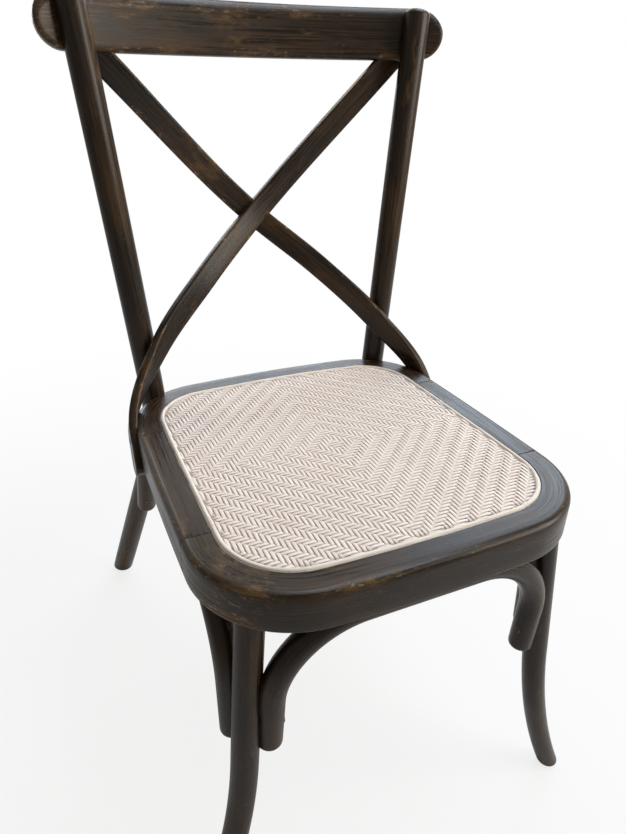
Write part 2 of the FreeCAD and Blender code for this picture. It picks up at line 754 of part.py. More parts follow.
def strip_section(sketch, wide, half, soft):
    """A slat's section: a flat strip with its corners taken off, about the origin."""
    flat = wide - soft
    tall = half - soft
    ends = [
        Vector(-flat, -half, 0), Vector(flat, -half, 0), Vector(wide, -tall, 0),
        Vector(wide, tall, 0), Vector(flat, half, 0), Vector(-flat, half, 0),
        Vector(-wide, tall, 0), Vector(-wide, -tall, 0)]
    for step in range(8):
        sketch.addGeometry(Part.LineSegment(ends[step], ends[(step + 1) % 8]), False)
    for step in range(8):
        following = (step + 1) % 8
        sketch.addConstraint(Sketcher.Constraint("Coincident", step, 2, following, 1))
    for step, (sign_x, sign_y) in enumerate((
            (-1, -1), (1, -1), (1, -1), (1, 1), (1, 1), (-1, 1), (-1, 1), (-1, -1))):
        less = " - [slat_corner]"
        across = "[slat_width] / 2" + (less if step in (0, 1, 4, 5) else "")
        through = "[slat_thick] / 2" + (less if step in (2, 3, 6, 7) else "")
        fix(sketch, "%d * (%s)" % (sign_x, across), "DistanceX", step, 1)
        fix(sketch, "%d * (%s)" % (sign_y, through), "DistanceY", step, 1)


# Arch braces: bent round rods. Each stands in one plane, its top against the frame's
# underside and its two ends along the insides of two legs.
ROD = S["arch_diameter"] / 2


def arch(name, place, ends, tools):
    """One arch. The ends are given in its own plane: foot, shoulder, shoulder, foot."""
    body = new_body(name + "_rod")
    body.Placement = place
    points = [Vector(x, z, 0) for x, z in reversed(ends)]
    path = new_sketch(body, name + "_path", "XZ_Plane")
    stops = [points[0]]
    for number in (1, 2):
        before = unit(points[number] - points[number - 1])
        after = unit(points[number + 1] - points[number])
        turn = before.getAngle(after)
        reach = S["arch_bend"] * math.tan(turn / 2)
        inward = Vector(-before.y, before.x, 0)
        for step in range(BEND_CHORDS + 1):
            angle = turn * step / BEND_CHORDS
            run = before * (S["arch_bend"] * math.sin(angle) - reach)
            stops.append(points[number] + run + inward * S["arch_bend"] * (1 - math.cos(angle)))
    stops.append(points[3])
    for first, second in zip(stops, stops[1:]):
        path.addGeometry(Part.LineSegment(first, second), False)
    for step, stop in enumerate(stops[:-1]):
        if step:
            path.addConstraint(Sketcher.Constraint("Coincident", step - 1, 2, step, 1))
        path.addConstraint(Sketcher.Constraint("DistanceX", step, 1, stop.x))
        path.addConstraint(Sketcher.Constraint("DistanceY", step, 1, stop.y))
    path.addConstraint(Sketcher.Constraint("DistanceX", len(stops) - 2, 2, stops[-1].x))
    path.addConstraint(Sketcher.Constraint("DistanceY", len(stops) - 2, 2, stops[-1].y))
    up = unit(points[1] - points[0])
    z_axis = Vector(up.x, 0, up.y)
    y_axis = Vector(0, 1, 0)
    x_axis = y_axis.cross(z_axis)
    foot = Vector(points[0].x, 0, points[0].y)
    matrix = FreeCAD.Matrix(
        x_axis.x, y_axis.x, z_axis.x, foot.x,
        x_axis.y, y_axis.y, z_axis.y, foot.y,
        x_axis.z, y_axis.z, z_axis.z, foot.z,
        0, 0, 0, 1)
    section = round_sketch(
        body, name + "_section", "[arch_diameter]", S["arch_diameter"], Placement(matrix))
    rod = feature(
        body, "AdditivePipe", name + "_pipe", section, Spine=(path, []),
        Transition="Right corner")

    def at_tip(edge):
        """Edges that lie wholly in one of the two end planes."""
        for tip, beyond in ((points[0], points[1]), (points[3], points[2])):
            run = unit(beyond - tip)
            flat = [abs((Vector(v.Point.x, v.Point.z, 0) - tip).dot(run)) < 0.01
                    for v in edge.Vertexes]
            if all(flat):
                return True
        return False

    eased(body, name + "_tips", rod, "[arch_tip]", at_tip)
    return cut(name, body, tools)


# Screws and their holes. A hole is open above the head, so a sunk head stays in view.
def screw_kind(name, head, shank, length):
    """A countersunk wood screw, its head's top at the origin, and its hole."""
    below = [(shank, -S["screw_cone"]), (shank / 4, -length)]
    screw = turned(name, [(head, 0.0)] + below, SCREW_SIDES)
    hole = turned(name + "_hole", [(head, head), (head, 0.0)] + below, SCREW_SIDES)
    return screw, hole


def facing(base, outward):
    """A placement at a point with local Z along a direction."""
    return Placement(base, Rotation(Vector(0, 0, 1), outward))


def copies(name, original, places):
    """Identical pieces as one node: copies of a body, each in its own place."""
    links = []
    for number, place in enumerate(places, start=1):
        link = doc.addObject("App::Link", "%s_%d" % (name, number))
        link.LinkedObject = original
        link.LinkPlacement = place
        links.append(link)
    made = doc.addObject("Part::Compound", name)
    made.Links = links
    doc.recompute()
    return made


# The chair, put together. Tools that make room for a neighbour come first.
BAND = S["frame_band"]
THICK = S["frame_thick"]
wide = 2 * S["seat_front_width"]
above_frame = seat_box(
    "above_underside", Vector(-wide, -wide, -THICK), Vector(wide, wide, wide))

ring = seat_ring()
rail = rail_blank()
slat_a = slat("slat_front_blank", -1, -S["slat_offset"])
slat_b = slat("slat_rear_blank", 1, S["slat_offset"])

small = screw_kind("short_wood_screw", S["screw_head"], S["screw_shank"], S["short_screw"])
middling = screw_kind("long_wood_screw", S["screw_head"], S["screw_shank"], S["long_screw"])
crossing = screw_kind("cross_wood_screw", S["screw_head"], S["screw_shank"], S["cross_screw"])
large = screw_kind(
    "leg_wood_screw", S["leg_screw_head"], S["leg_screw_shank"], S["leg_screw_length"])
SINK = S["screw_sink"]


def both_sides(places):
    """Points and outward directions on the right, and their mirror images."""
    return places + [(mirrored(base), mirrored(outward)) for base, outward in places]


def fasten(name, kind, places):
    """A node of screws and the compound of their holes."""
    stands = [facing(base - unit(out) * SINK, out) for base, out in places]
    screws = copies(name, kind[0], stands)
    holes = copies(name + "_holes", kind[1], stands)
    return screws, holes


# Two screws through each rear post into the frame, one above the other
seat_corner = Vector(REAR_CORNER.x, S["seat_centre"] + REAR_CORNER.y, 0)
rear_places = []
for step in (-1, 1):
    height = underside(post_axis(430).y) + THICK / 2 + step * S["leg_screw_gap"] / 2
    post = post_axis(height)
    outward = unit(Vector(post.x - seat_corner.x, post.y - seat_corner.y, 0))
    rear_places.append((post + outward * S["post_diameter"] / 2, outward))
rear_leg_screws, rear_leg_holes = fasten("rear_leg_screws", large, both_sides(rear_places))

# Two screws from the rail's back into each post
rail_out = RAIL.Rotation.multVec(Vector(0, 1, 0))
rail_places = []
for step in (-1, 1):
    height = S["rail_height"] + step * S["leg_screw_gap"] / 2
    post = post_axis(height)
    outer = S["rail_curve"] + S["rail_thick"]
    turn = math.asin(post.x / outer)
    local = Vector(
        post.x, outer * math.cos(turn) - S["rail_curve"],
        step * S["leg_screw_gap"] / 2)
    outward = RAIL.Rotation.multVec(Vector(math.sin(turn) * 0.3, 1, 0))
    rail_places.append((RAIL.multVec(local), unit(outward)))
top_rail_screws, top_rail_holes = fasten("top_rail_screws", middling, both_sides(rail_places))

# One screw through each slat's foot into the frame, and one where the slats cross
foot_stations = slat_stations(-S["slat_offset"], 400)
foot_middle = min(foot_stations, key=lambda one: abs(
    one[0].z - underside(one[0].y) - THICK / 2) + (0 if one[0].z < S["post_pass"] else 999))
foot_out = Vector(-1, 0, 0)
foot_places = [
    (foot_middle[0] + foot_out * S["slat_thick"] / 2, foot_out),
    (mirrored(foot_middle[0]) - foot_out * S["slat_thick"] / 2, Vector(1, 0, 0)),
]
slat_foot_screws, slat_foot_holes = fasten("slat_foot_screws", small, foot_places)
cross_station = min(slat_stations(S["slat_offset"], 400), key=lambda one: abs(one[0].x))
cross_back = unit(Vector(0, cross_station[3].z, -cross_station[3].y)) * S["slat_thick"] / 2
slat_cross_screw, slat_cross_hole = fasten(
    "slat_cross_screw", crossing, [(cross_station[0] + cross_back, cross_back)])

# Places of the arch braces. Each has a plane of its own; across and up are the plane's
# directions, and its origin lies where the rod's top meets the frame's underside.
AXIS_DROP = ROD - S["arch_flat"]
REACH_REAR = S["post_diameter"] / 2 + ROD - S["arch_house"]


def reach_from_front_leg(height):
    """Distance between an arch's end and the front leg that it is let into."""
    share = height / LEG_TOP.z
    wide_here = S["front_leg_foot"] + (S["front_leg_top"] - S["front_leg_foot"]) * share
    return wide_here / 2 + ROD - S["arch_house"]


def arch_place(origin, across, up):
    """A brace's plane: local X across, local Z up."""
    return Placement(FreeCAD.Matrix(
        across.x, up.cross(across).x, up.x, origin.x,
        across.y, up.cross(across).y, up.y, origin.y,
        across.z, up.cross(across).z, up.z, origin.z,
        0, 0, 0, 1))


def in_plane(place, point):
    """A point of the chair in a brace's own plane."""
    local = place.inverse().multVec(point)
    return (local.x, local.z)


low = S["arch_foot"]
front_y = S["seat_centre"] - HALF_DEPTH - S["front_bow"] + BAND / 2
front_place = arch_place(
    Vector(0, front_y, underside(front_y)), Vector(1, 0, 0), Vector(0, 0, 1))
front_low = front_leg_axis(low)
front_high = front_leg_axis(LEG_TOP.z - ROD)
out_low = front_low.x - reach_from_front_leg(low)
out_high = out_low - S["front_arch_draw"]
fall = low - front_place.Base.z
front_ends = [(-out_low, fall), (-out_high, -AXIS_DROP), (out_high, -AXIS_DROP), (out_low, fall)]

sloped_up = SEAT.Rotation.multVec(Vector(0, 0, 1))
sloped_back = SEAT.Rotation.multVec(Vector(0, 1, 0))
side_x = (SIDE_CENTRE.x + S["side_arc"]) - BAND / 2 - S["side_arch_inset"]
rear_low = rear_leg_axis(low - S["foot_depth"] * math.tan(SLOPE) * 0.7)
side_places = {}
for hand, sign in (("right", 1), ("left", -1)):
    side_places[hand] = arch_place(
        Vector(sign * side_x, S["seat_centre"], underside(S["seat_centre"])),
        sloped_back, sloped_up)
side_front_low = Vector(side_x, front_low.y + reach_from_front_leg(low), low)
side_front_high = Vector(side_x, front_high.y + reach_from_front_leg(LEG_TOP.z), front_high.z)
side_rear_low = Vector(side_x, rear_low.y - REACH_REAR, rear_low.z)
side_rear_high = Vector(side_x, KNEE.y - REACH_REAR - 1, KNEE.z)
side_ends = [in_plane(side_places["right"], point) for point in (
    side_front_low, side_front_high, side_rear_high, side_rear_low)]
for number in (1, 2):
    below = side_ends[number]
    partner = side_ends[0 if number == 1 else 3]
    lean = (below[0] - partner[0]) / (below[1] - partner[1])
    side_ends[number] = (below[0] + lean * (-AXIS_DROP - below[1]), -AXIS_DROP)

rear_y = S["seat_centre"] + HALF_DEPTH + S["rear_bow"] - BAND / 2
lean_back = math.atan2(REAR_FOOT.y - KNEE.y, KNEE.z)
rear_up = Vector(0, -math.sin(lean_back), math.cos(lean_back))
rear_axis = Vector(0, rear_y, underside(rear_y) - AXIS_DROP / math.cos(SLOPE))
rear_place = arch_place(rear_axis + rear_up * AXIS_DROP, Vector(1, 0, 0), rear_up)
beside_y = S["rear_arch_aside"]
beside_x = math.sqrt(REACH_REAR ** 2 - beside_y ** 2)
rear_fall = (rear_axis.z - rear_low.z) / math.cos(lean_back)
rear_out_low = rear_low.x - beside_x
rear_out_high = rear_leg_axis(rear_axis.z).x - beside_x
rear_ends = [
    (-rear_out_low, -AXIS_DROP - rear_fall), (-rear_out_high, -AXIS_DROP),
    (rear_out_high, -AXIS_DROP), (rear_out_low, -AXIS_DROP - rear_fall)]

ARCHES = {
    "front_arch_brace": (front_place, front_ends),
    "rear_arch_brace": (rear_place, rear_ends),
    "left_arch_brace": (side_places["left"], side_ends),
    "right_arch_brace": (side_places["right"], side_ends),
}


def nearest_on_leg(point):
    """The nearest point of any leg's axis, below the seat."""
    found = []
    for step in range(120):
        height = low - 40 + 2 * step
        if height < LEG_TOP.z:
            found += [front_leg_axis(height), mirrored(front_leg_axis(height))]
        if height < KNEE.z:
            found += [rear_leg_axis(height), mirrored(rear_leg_axis(height))]
    return min(found, key=lambda one: (one - point).Length)


# Screws of the braces: up into the frame, and through each end into its leg
frame_places = []
leg_places = []
for place, ends in ARCHES.values():
    up = place.Rotation.multVec(Vector(0, 0, 1))
    middle = (ends[1][0] + ends[2][0]) / 2
    for step in (-1, 1):
        local = Vector(middle + step * S["arch_screw_reach"], 0, -AXIS_DROP - ROD)
        frame_places.append((place.multVec(local), up * -1))
    for foot, shoulder in ((ends[0], ends[1]), (ends[3], ends[2])):
        tip = place.multVec(Vector(foot[0], 0, foot[1]))
        bend = place.multVec(Vector(shoulder[0], 0, shoulder[1]))
        along = unit(bend - tip)
        point = tip + along * S["arch_screw_rise"]
        inward = nearest_on_leg(point) - point
        inward = unit(inward - along * inward.dot(along))
        leg_places.append((point - inward * ROD, inward * -1))
arch_frame_screws, arch_frame_holes = fasten("arch_frame_screws", middling, frame_places)
arch_leg_screws, arch_leg_holes = fasten("arch_leg_screws", middling, leg_places)

# Legs
front_legs = {}
rear_legs = {}
for hand, sign in (("left", -1), ("right", 1)):
    front_legs[hand] = front_leg("front_leg_" + hand, sign, above_frame, [arch_leg_holes])
    rear_legs[hand] = rear_leg("rear_leg_" + hand, sign, [
        ring, rail, slat_a, slat_b, rear_leg_holes, top_rail_holes,
        arch_leg_holes])

# Arch braces, coped to the legs and flattened against the frame
leg_blanks = [
    doc.getObject(name) for name in (
        "front_leg_left_shaft", "front_leg_right_shaft", "rear_leg_left_rod",
        "rear_leg_right_rod")]
arches = [
    arch(name, place, ends, [above_frame] + leg_blanks + [arch_frame_holes, arch_leg_holes])
    for name, (place, ends) in ARCHES.items()]

# The dowels of the frame's four seams
dowel_places = []
for seam in (-S["front_seam"], S["rear_seam"]):
    edge = SIDE_CENTRE.x + math.sqrt(S["side_arc"] ** 2 - (seam - SIDE_CENTRE.y) ** 2)
    for step in (0, 1):
        for sign in (-1, 1):
            out = sign * (edge - S["dowel_inset"] - step * S["dowel_spacing"])
            start = Vector(out, seam - S["dowel_length"] / 2, -S["dowel_depth"])
            dowel_places.append(SEAT.multiply(
                Placement(start, Rotation(Vector(1, 0, 0), -90))))
dowel = new_body("frame_dowel")
dowel_section = round_sketch(
    dowel, "frame_dowel_section", "[dowel_diameter]", S["dowel_diameter"], sides=SCREW_SIDES)
feature(dowel, "Pad", "frame_dowel_pad", dowel_section, Length="[dowel_length]")
frame_joint_dowels = copies("frame_joint_dowels", dowel, dowel_places)

# The frame's four parts
tenons = [doc.getObject("front_leg_%s_tenon" % hand) for hand in ("left", "right")]
always = [frame_joint_dowels, arch_frame_holes]
segment_boxes = {
    "front": (Vector(-wide, -wide, -wide), Vector(wide, -S["front_seam"], wide), tenons),
    "back": (
        Vector(-wide, S["rear_seam"], -wide), Vector(wide, wide, wide),
        [slat_a, slat_b, rear_leg_holes, slat_foot_holes]),
    "left": (
        Vector(-wide, -S["front_seam"], -wide), Vector(0, S["rear_seam"], wide),
        [slat_a, slat_foot_holes]),
    "right": (
        Vector(0, -S["front_seam"], -wide), Vector(wide, S["rear_seam"], wide),
        [slat_b, slat_foot_holes]),
}
segments = []
for side, (near, far, tools) in segment_boxes.items():
    part_of_ring = doc.addObject("Part::Common", "frame_%s_blank" % side)
    part_of_ring.Base = ring
    part_of_ring.Tool = seat_box("frame_%s_reach" % side, near, far)
    doc.recompute()
    segments.append(cut("seat_frame_" + side, part_of_ring, always + tools))

# Woven seat panel and the spline round it
panel = new_body("woven_seat_panel")
panel_sketch = new_sketch(
    panel, "PanelOutline", "XY_Plane", Placement(Vector(0, 0, S["panel_proud"]), Rotation()))
seat_outline(panel_sketch, "spline_inset", "spline_width")
feature(panel, "Pad", "PanelPlate", panel_sketch, Length="[panel_thick]", Reversed=True)
panel.Placement = SEAT
spline = new_body("seat_spline")
spline_sketch = new_sketch(
    spline, "SplineOutline", "XY_Plane", Placement(Vector(0, 0, S["spline_proud"]), Rotation()))
seat_outline(spline_sketch, "spline_inset")
seat_outline(spline_sketch, "spline_inset", "spline_width")
feature(
    spline, "Pad", "SplineStrip", spline_sketch, Length="[spline_depth] + [spline_proud]",
    Reversed=True)
spline.Placement = SEAT

# Rail and slats, with room for each other and for their screws
top_rail = cut("top_rail", rail, [slat_a, slat_b, top_rail_holes])
cross_slat_front = cut("cross_slat_front", slat_a, [slat_cross_hole, slat_foot_holes])
cross_slat_rear = cut("cross_slat_rear", slat_b, [slat_a, slat_cross_hole, slat_foot_holes])

# Glides under the feet
glide = turned("foot_glide", [
    (S["glide_diameter"] - 2, 0.0), (S["glide_diameter"], S["glide_height"])])
glide_places = [
    Placement(Vector(sign * spot.x, spot.y, 0), Rotation())
    for spot in (front_leg_axis(S["glide_height"]), rear_leg_axis(S["glide_height"]))
    for sign in (-1, 1)]
foot_glides = copies("foot_glides", glide, glide_places)

NODES = [
    front_legs["left"], front_legs["right"], rear_legs["left"], rear_legs["right"],
    top_rail, cross_slat_front, cross_slat_rear, *segments, panel, spline, *arches,
    frame_joint_dowels, rear_leg_screws, top_rail_screws, slat_foot_screws,
    slat_cross_screw, arch_frame_screws, arch_leg_screws, foot_glides,
]

# Every object must have built, and every piece must be a sound solid
doc.recompute()
for thing in doc.Objects:
    if "Invalid" in thing.State or "Error" in thing.State:
        raise RuntimeError("did not build: " + thing.Name)
for node in NODES:
    if node.Shape.isNull() or not node.Shape.isValid() or not node.Shape.Solids:
        raise RuntimeError("not a sound solid: " + node.Name)

os.makedirs("parts", exist_ok=True)
for node in NODES:
    node.Label = node.Name
    node.Shape.exportStep("parts/%s.step" % node.Name)
    print(node.Name, len(node.Shape.Solids), round(node.Shape.Volume))
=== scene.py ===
"""Looks of a cross back dining chair: dark brushed wood with a pale woven seat.

Sizes are in millimetres, as in the part's source, and meshes are made in metres in
the row frame: +Z up, the chair's front towards -Y. Left and right are as seen from
the front. Each wood mesh carries two attributes that its finish reads: "grain", the
place across and along the piece in metres, and "wear", how exposed a spot is to
rubbing: from 0 to 1, and more than 1 only at the seat's worn corner.
"""
import logging
import math
from dataclasses import dataclass, field, replace
from enum import Enum
from typing import Dict, Iterable, List, NamedTuple, Optional, Sequence, Tuple

import bmesh
import bpy
from mathutils import Matrix, Vector

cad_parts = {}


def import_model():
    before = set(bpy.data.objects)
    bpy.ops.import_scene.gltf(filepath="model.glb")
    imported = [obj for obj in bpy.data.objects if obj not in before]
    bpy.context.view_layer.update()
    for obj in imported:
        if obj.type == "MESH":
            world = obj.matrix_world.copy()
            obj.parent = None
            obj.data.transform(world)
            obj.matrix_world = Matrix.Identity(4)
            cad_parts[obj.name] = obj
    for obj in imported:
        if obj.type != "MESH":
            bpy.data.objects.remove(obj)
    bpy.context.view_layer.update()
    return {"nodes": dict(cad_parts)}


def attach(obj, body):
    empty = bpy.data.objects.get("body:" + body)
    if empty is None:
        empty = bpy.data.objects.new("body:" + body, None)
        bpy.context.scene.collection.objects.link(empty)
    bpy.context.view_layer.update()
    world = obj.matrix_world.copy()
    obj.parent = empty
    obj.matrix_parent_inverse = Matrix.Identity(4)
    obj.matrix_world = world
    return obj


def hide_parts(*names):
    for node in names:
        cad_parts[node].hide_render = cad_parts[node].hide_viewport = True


MM = 0.001
BODY = "root"
LOG = logging.getLogger("cross_back_chair")
UP = Vector((0.0, 0.0, 1.0))

Colour = Tuple[float, float, float]
Triple = Tuple[float, float, float]
Double = Tuple[float, float]
Pair = Tuple[Vector, Vector]
Spot = Tuple[Vector, Vector, float]


class Side(Enum):
    """A hand of the chair, as seen from the front; the value is the sign of X."""

    LEFT = -1
    RIGHT = 1

    @property
    def word(self) -> str:
        """The side's name as the pieces write it."""
        return self.name.lower()

    def of(self, point: Vector) -> Vector:
        """A point given for the right side, on this side."""
        return Vector((point.x * self.value, point.y, point.z))


class Slot(Enum):
    """The record's material slots."""

    WOOD = "dark_wood"
    CANE = "woven_cane"
    REED = "cane_spline"
    DOWEL = "dowel_wood"
    STEEL = "steel"
    GLIDE = "glide"


# Meshes


def unit(vector: Vector) -> Vector:
    """The direction of a vector."""
    return vector.normalized()


def turns(steps: int, whole: float = 90.0) -> List[float]:
    """Even angles in radians, from none to the whole turn, which is in degrees."""
    return [math.radians(whole) * step / steps for step in range(steps + 1)]


def ease(share: float) -> float:
    """A share from 0 to 1 that starts and ends gently."""
    return share * share * (3 - 2 * share)


def linked(name: str, data: bpy.types.ID) -> bpy.types.Object:
    """A new object of the scene.

    Args:
        name: Its name.
        data: Its mesh, lamp or camera.

    Returns:
        The object.
    """
    made = bpy.data.objects.new(name, data)
    bpy.context.scene.collection.objects.link(made)
    return made


def smooth(mesh: bpy.types.Mesh) -> None:
    """Turn a mesh's faces outwards and shade it smooth.

    Args:
        mesh: The mesh to change.
    """
    work = bmesh.new()
    work.from_mesh(mesh)
    bmesh.ops.recalc_face_normals(work, faces=work.faces)
    work.to_mesh(mesh)
    work.free()
    mesh.shade_smooth()


@dataclass
class Draft:
    """A mesh in the making, in millimetres, with the attributes that finishes read.

    The number shifts the grain, so that no two pieces show the same figure.
    """

    name: str
    number: int = 0
    points: List[Vector] = field(default_factory=list)
    faces: List[Tuple[int, ...]] = field(default_factory=list)
    grain: List[Vector] = field(default_factory=list)
    wear: List[float] = field(default_factory=list)

    def add(self, spots: Iterable[Spot]) -> List[int]:
        """Add points.

        Args:
            spots: Place, place across and along the piece, and wear of each.

        Returns:
            The points' numbers.
        """
        first = len(self.points)
        for place, grain, wear in spots:
            self.points.append(place)
            self.grain.append(grain)
            self.wear.append(wear)
        return list(range(first, len(self.points)))

    def skin(self, layers: Iterable[Iterable[Spot]], caps: Sequence[int] = (),
             loop: bool = False) -> List[List[int]]:
        """Add rings of points and join them in order.

        Args:
            layers: The points of each ring.
            caps: Which rings are closed with a fan.
            loop: Whether the last ring joins the first.

        Returns:
            The rings' point numbers.
        """
        rings = [self.add(layer) for layer in layers]
        self.loft(rings, loop)
        for number in caps:
            self.cap(rings[number])
        return rings

    def loft(self, rings: Sequence[Sequence[int]], loop: bool = False) -> None:
        """Join rings of points by quads, each ring closed on itself.

        Args:
            rings: The rings' point numbers, each ring as long as the others.
            loop: Whether the last ring joins the first.
        """
        ahead = list(rings[1:]) + ([rings[0]] if loop else [])
        for low, high in zip(rings, ahead):
            for step in range(len(low)):
                after = (step + 1) % len(low)
                self.faces.append((low[step], low[after], high[after], high[step]))

    def cap(self, ring: Sequence[int], rise: float = 0.0) -> None:
        """Close a ring with a fan about its middle.

        Args:
            ring: The ring's point numbers.
            rise: How far the middle stands above the ring's own plane.
        """
        middle, grain = (
            sum((values[number] for number in ring), Vector()) / len(ring)
            for values in (self.points, self.grain))
        wear = sum(self.wear[number] for number in ring) / len(ring)
        centre, = self.add([(middle + UP * rise, grain, wear)])
        for step, number in enumerate(ring):
            self.faces.append((number, ring[(step + 1) % len(ring)], centre))

    def finish(self, sharp: float = 38.0) -> bpy.types.Object:
        """Make the object, with smooth shading, outward faces and its attributes.

        Args:
            sharp: The angle past which an edge stays crisp, in degrees.

        Returns:
            The new object, at the origin.
        """
        mesh = bpy.data.meshes.new(self.name)
        mesh.from_pydata([tuple(place * MM) for place in self.points], [], self.faces)
        shift = Vector((37.0 * self.number, 53.0 * (self.number % 5), 911.0 * self.number))
        grain = mesh.attributes.new("grain", "FLOAT_VECTOR", "POINT")
        grain.data.foreach_set(
            "vector", [part for value in self.grain for part in (value + shift) * MM])
        wear = mesh.attributes.new("wear", "FLOAT", "POINT")
        wear.data.foreach_set("value", self.wear)
        smooth(mesh)
        mesh.set_sharp_from_angle(angle=math.radians(sharp))
        return linked(self.name, mesh)


@dataclass
class Station:
    """One section of a round member: its centre, radius, facing and wear."""

    centre: Vector
    radius: float
    facing: Vector
    wear: float = 0.0


def eased_end(
    centre: Vector, outward: Vector, radius: float, soft: float, crown: float, wear: float
) -> List[Station]:
    """Sections that round the end of a rod over, from its full size outwards.

    Args:
        centre: The middle of the end face.
        outward: The direction that the end faces.
        radius: The rod's radius.
        soft: The radius of the rounding.
        crown: How far the end's middle stands proud.
        wear: How rubbed the rounding is.

    Returns:
        Sections from the rod's full size to near its middle.
    """
    flat = radius - soft
    made = [Station(centre - outward * (soft - soft * math.sin(turn) + crown),
                    flat + soft * math.cos(turn), outward, wear) for turn in turns(6)]
    return made + [
        Station(centre - outward * (crown * share * share), flat * share, outward,
                wear * share * 0.5) for share in (0.8, 0.55, 0.25)]


def round_member(
    name: str, number: int, stations: Sequence[Station], sides: int = 32,
    open_start: bool = False,
) -> Draft:
    """A round member through its sections, closed at its ends.

    Args:
        name: The piece's name.
        number: The piece's number.
        stations: Its sections, from one end to the other.
        sides: Points round each section.
        open_start: Whether its first end is left for the caller to close.

    Returns:
        The draft of the piece.
    """
    draft = Draft(name, number)
    across = stations[0].facing.orthogonal()
    run, last, layers = 0.0, stations[0].centre, []
    for station in stations:
        run += (station.centre - last).length
        last = station.centre
        across = unit(across - station.facing * across.dot(station.facing))
        beside = station.facing.cross(across)
        circle = [(station.radius * math.cos(turn), station.radius * math.sin(turn))
                  for turn in turns(sides, 360.0)[:-1]]
        layers.append([
            (station.centre + across * wide + beside * deep, Vector((wide, deep, run)),
             station.wear) for wide, deep in circle])
    draft.skin(layers, (-1,) if open_start else (0, -1))
    return draft


def rounded_path(corners: Sequence[Vector], bend: float, step: float) -> List[Vector]:
    """Points along straight runs joined by tangent arcs.

    Args:
        corners: The runs' ends and corners.
        bend: The radius of the arc at each inner corner.
        step: The turn between neighbouring points of an arc, in degrees.

    Returns:
        The points, from the first corner to the last.
    """
    made = [corners[0]]
    for start, corner, end in zip(corners, corners[1:], corners[2:]):
        before, after = unit(corner - start), unit(end - corner)
        turn = before.angle(after)
        reach = bend * math.tan(turn / 2)
        inward = unit(after - before * before.dot(after))
        count = max(2, round(math.degrees(turn) / step))
        for angle in turns(count, math.degrees(turn)):
            made.append(corner + before * (bend * math.sin(angle) - reach)
                        + inward * bend * (1 - math.cos(angle)))
    return made + [corners[-1]]


def split_runs(points: Sequence[Vector], longest: float) -> List[Vector]:
    """Divide the long runs of a path.

    Args:
        points: The path.
        longest: The longest run that is kept whole.

    Returns:
        The path with more points on its long runs.
    """
    made = [points[0]]
    for start, end in zip(points, points[1:]):
        count = max(1, math.ceil((end - start).length / longest))
        made += [start.lerp(end, part / count) for part in range(1, count + 1)]
    return made


# The seat's outline


@dataclass(frozen=True)
class Arc:
    """An arc of the seat's outline, counterclockwise: centre, radius and two angles."""

    x: float
    y: float
    radius: float
    first: float
    last: float

    def mirrored(self) -> "Arc":
        """The same arc on the chair's other side, still counterclockwise."""
        return Arc(-self.x, self.y, self.radius, math.pi - self.last, math.pi - self.first)

    def at(self, angle: float, inset: float) -> Vector:
        """A point of the arc, set in from the seat's edge, in the seat's own frame."""
        reach = self.radius - inset
        return Vector((self.x + reach * math.cos(angle), self.y + reach * math.sin(angle), 0.0))


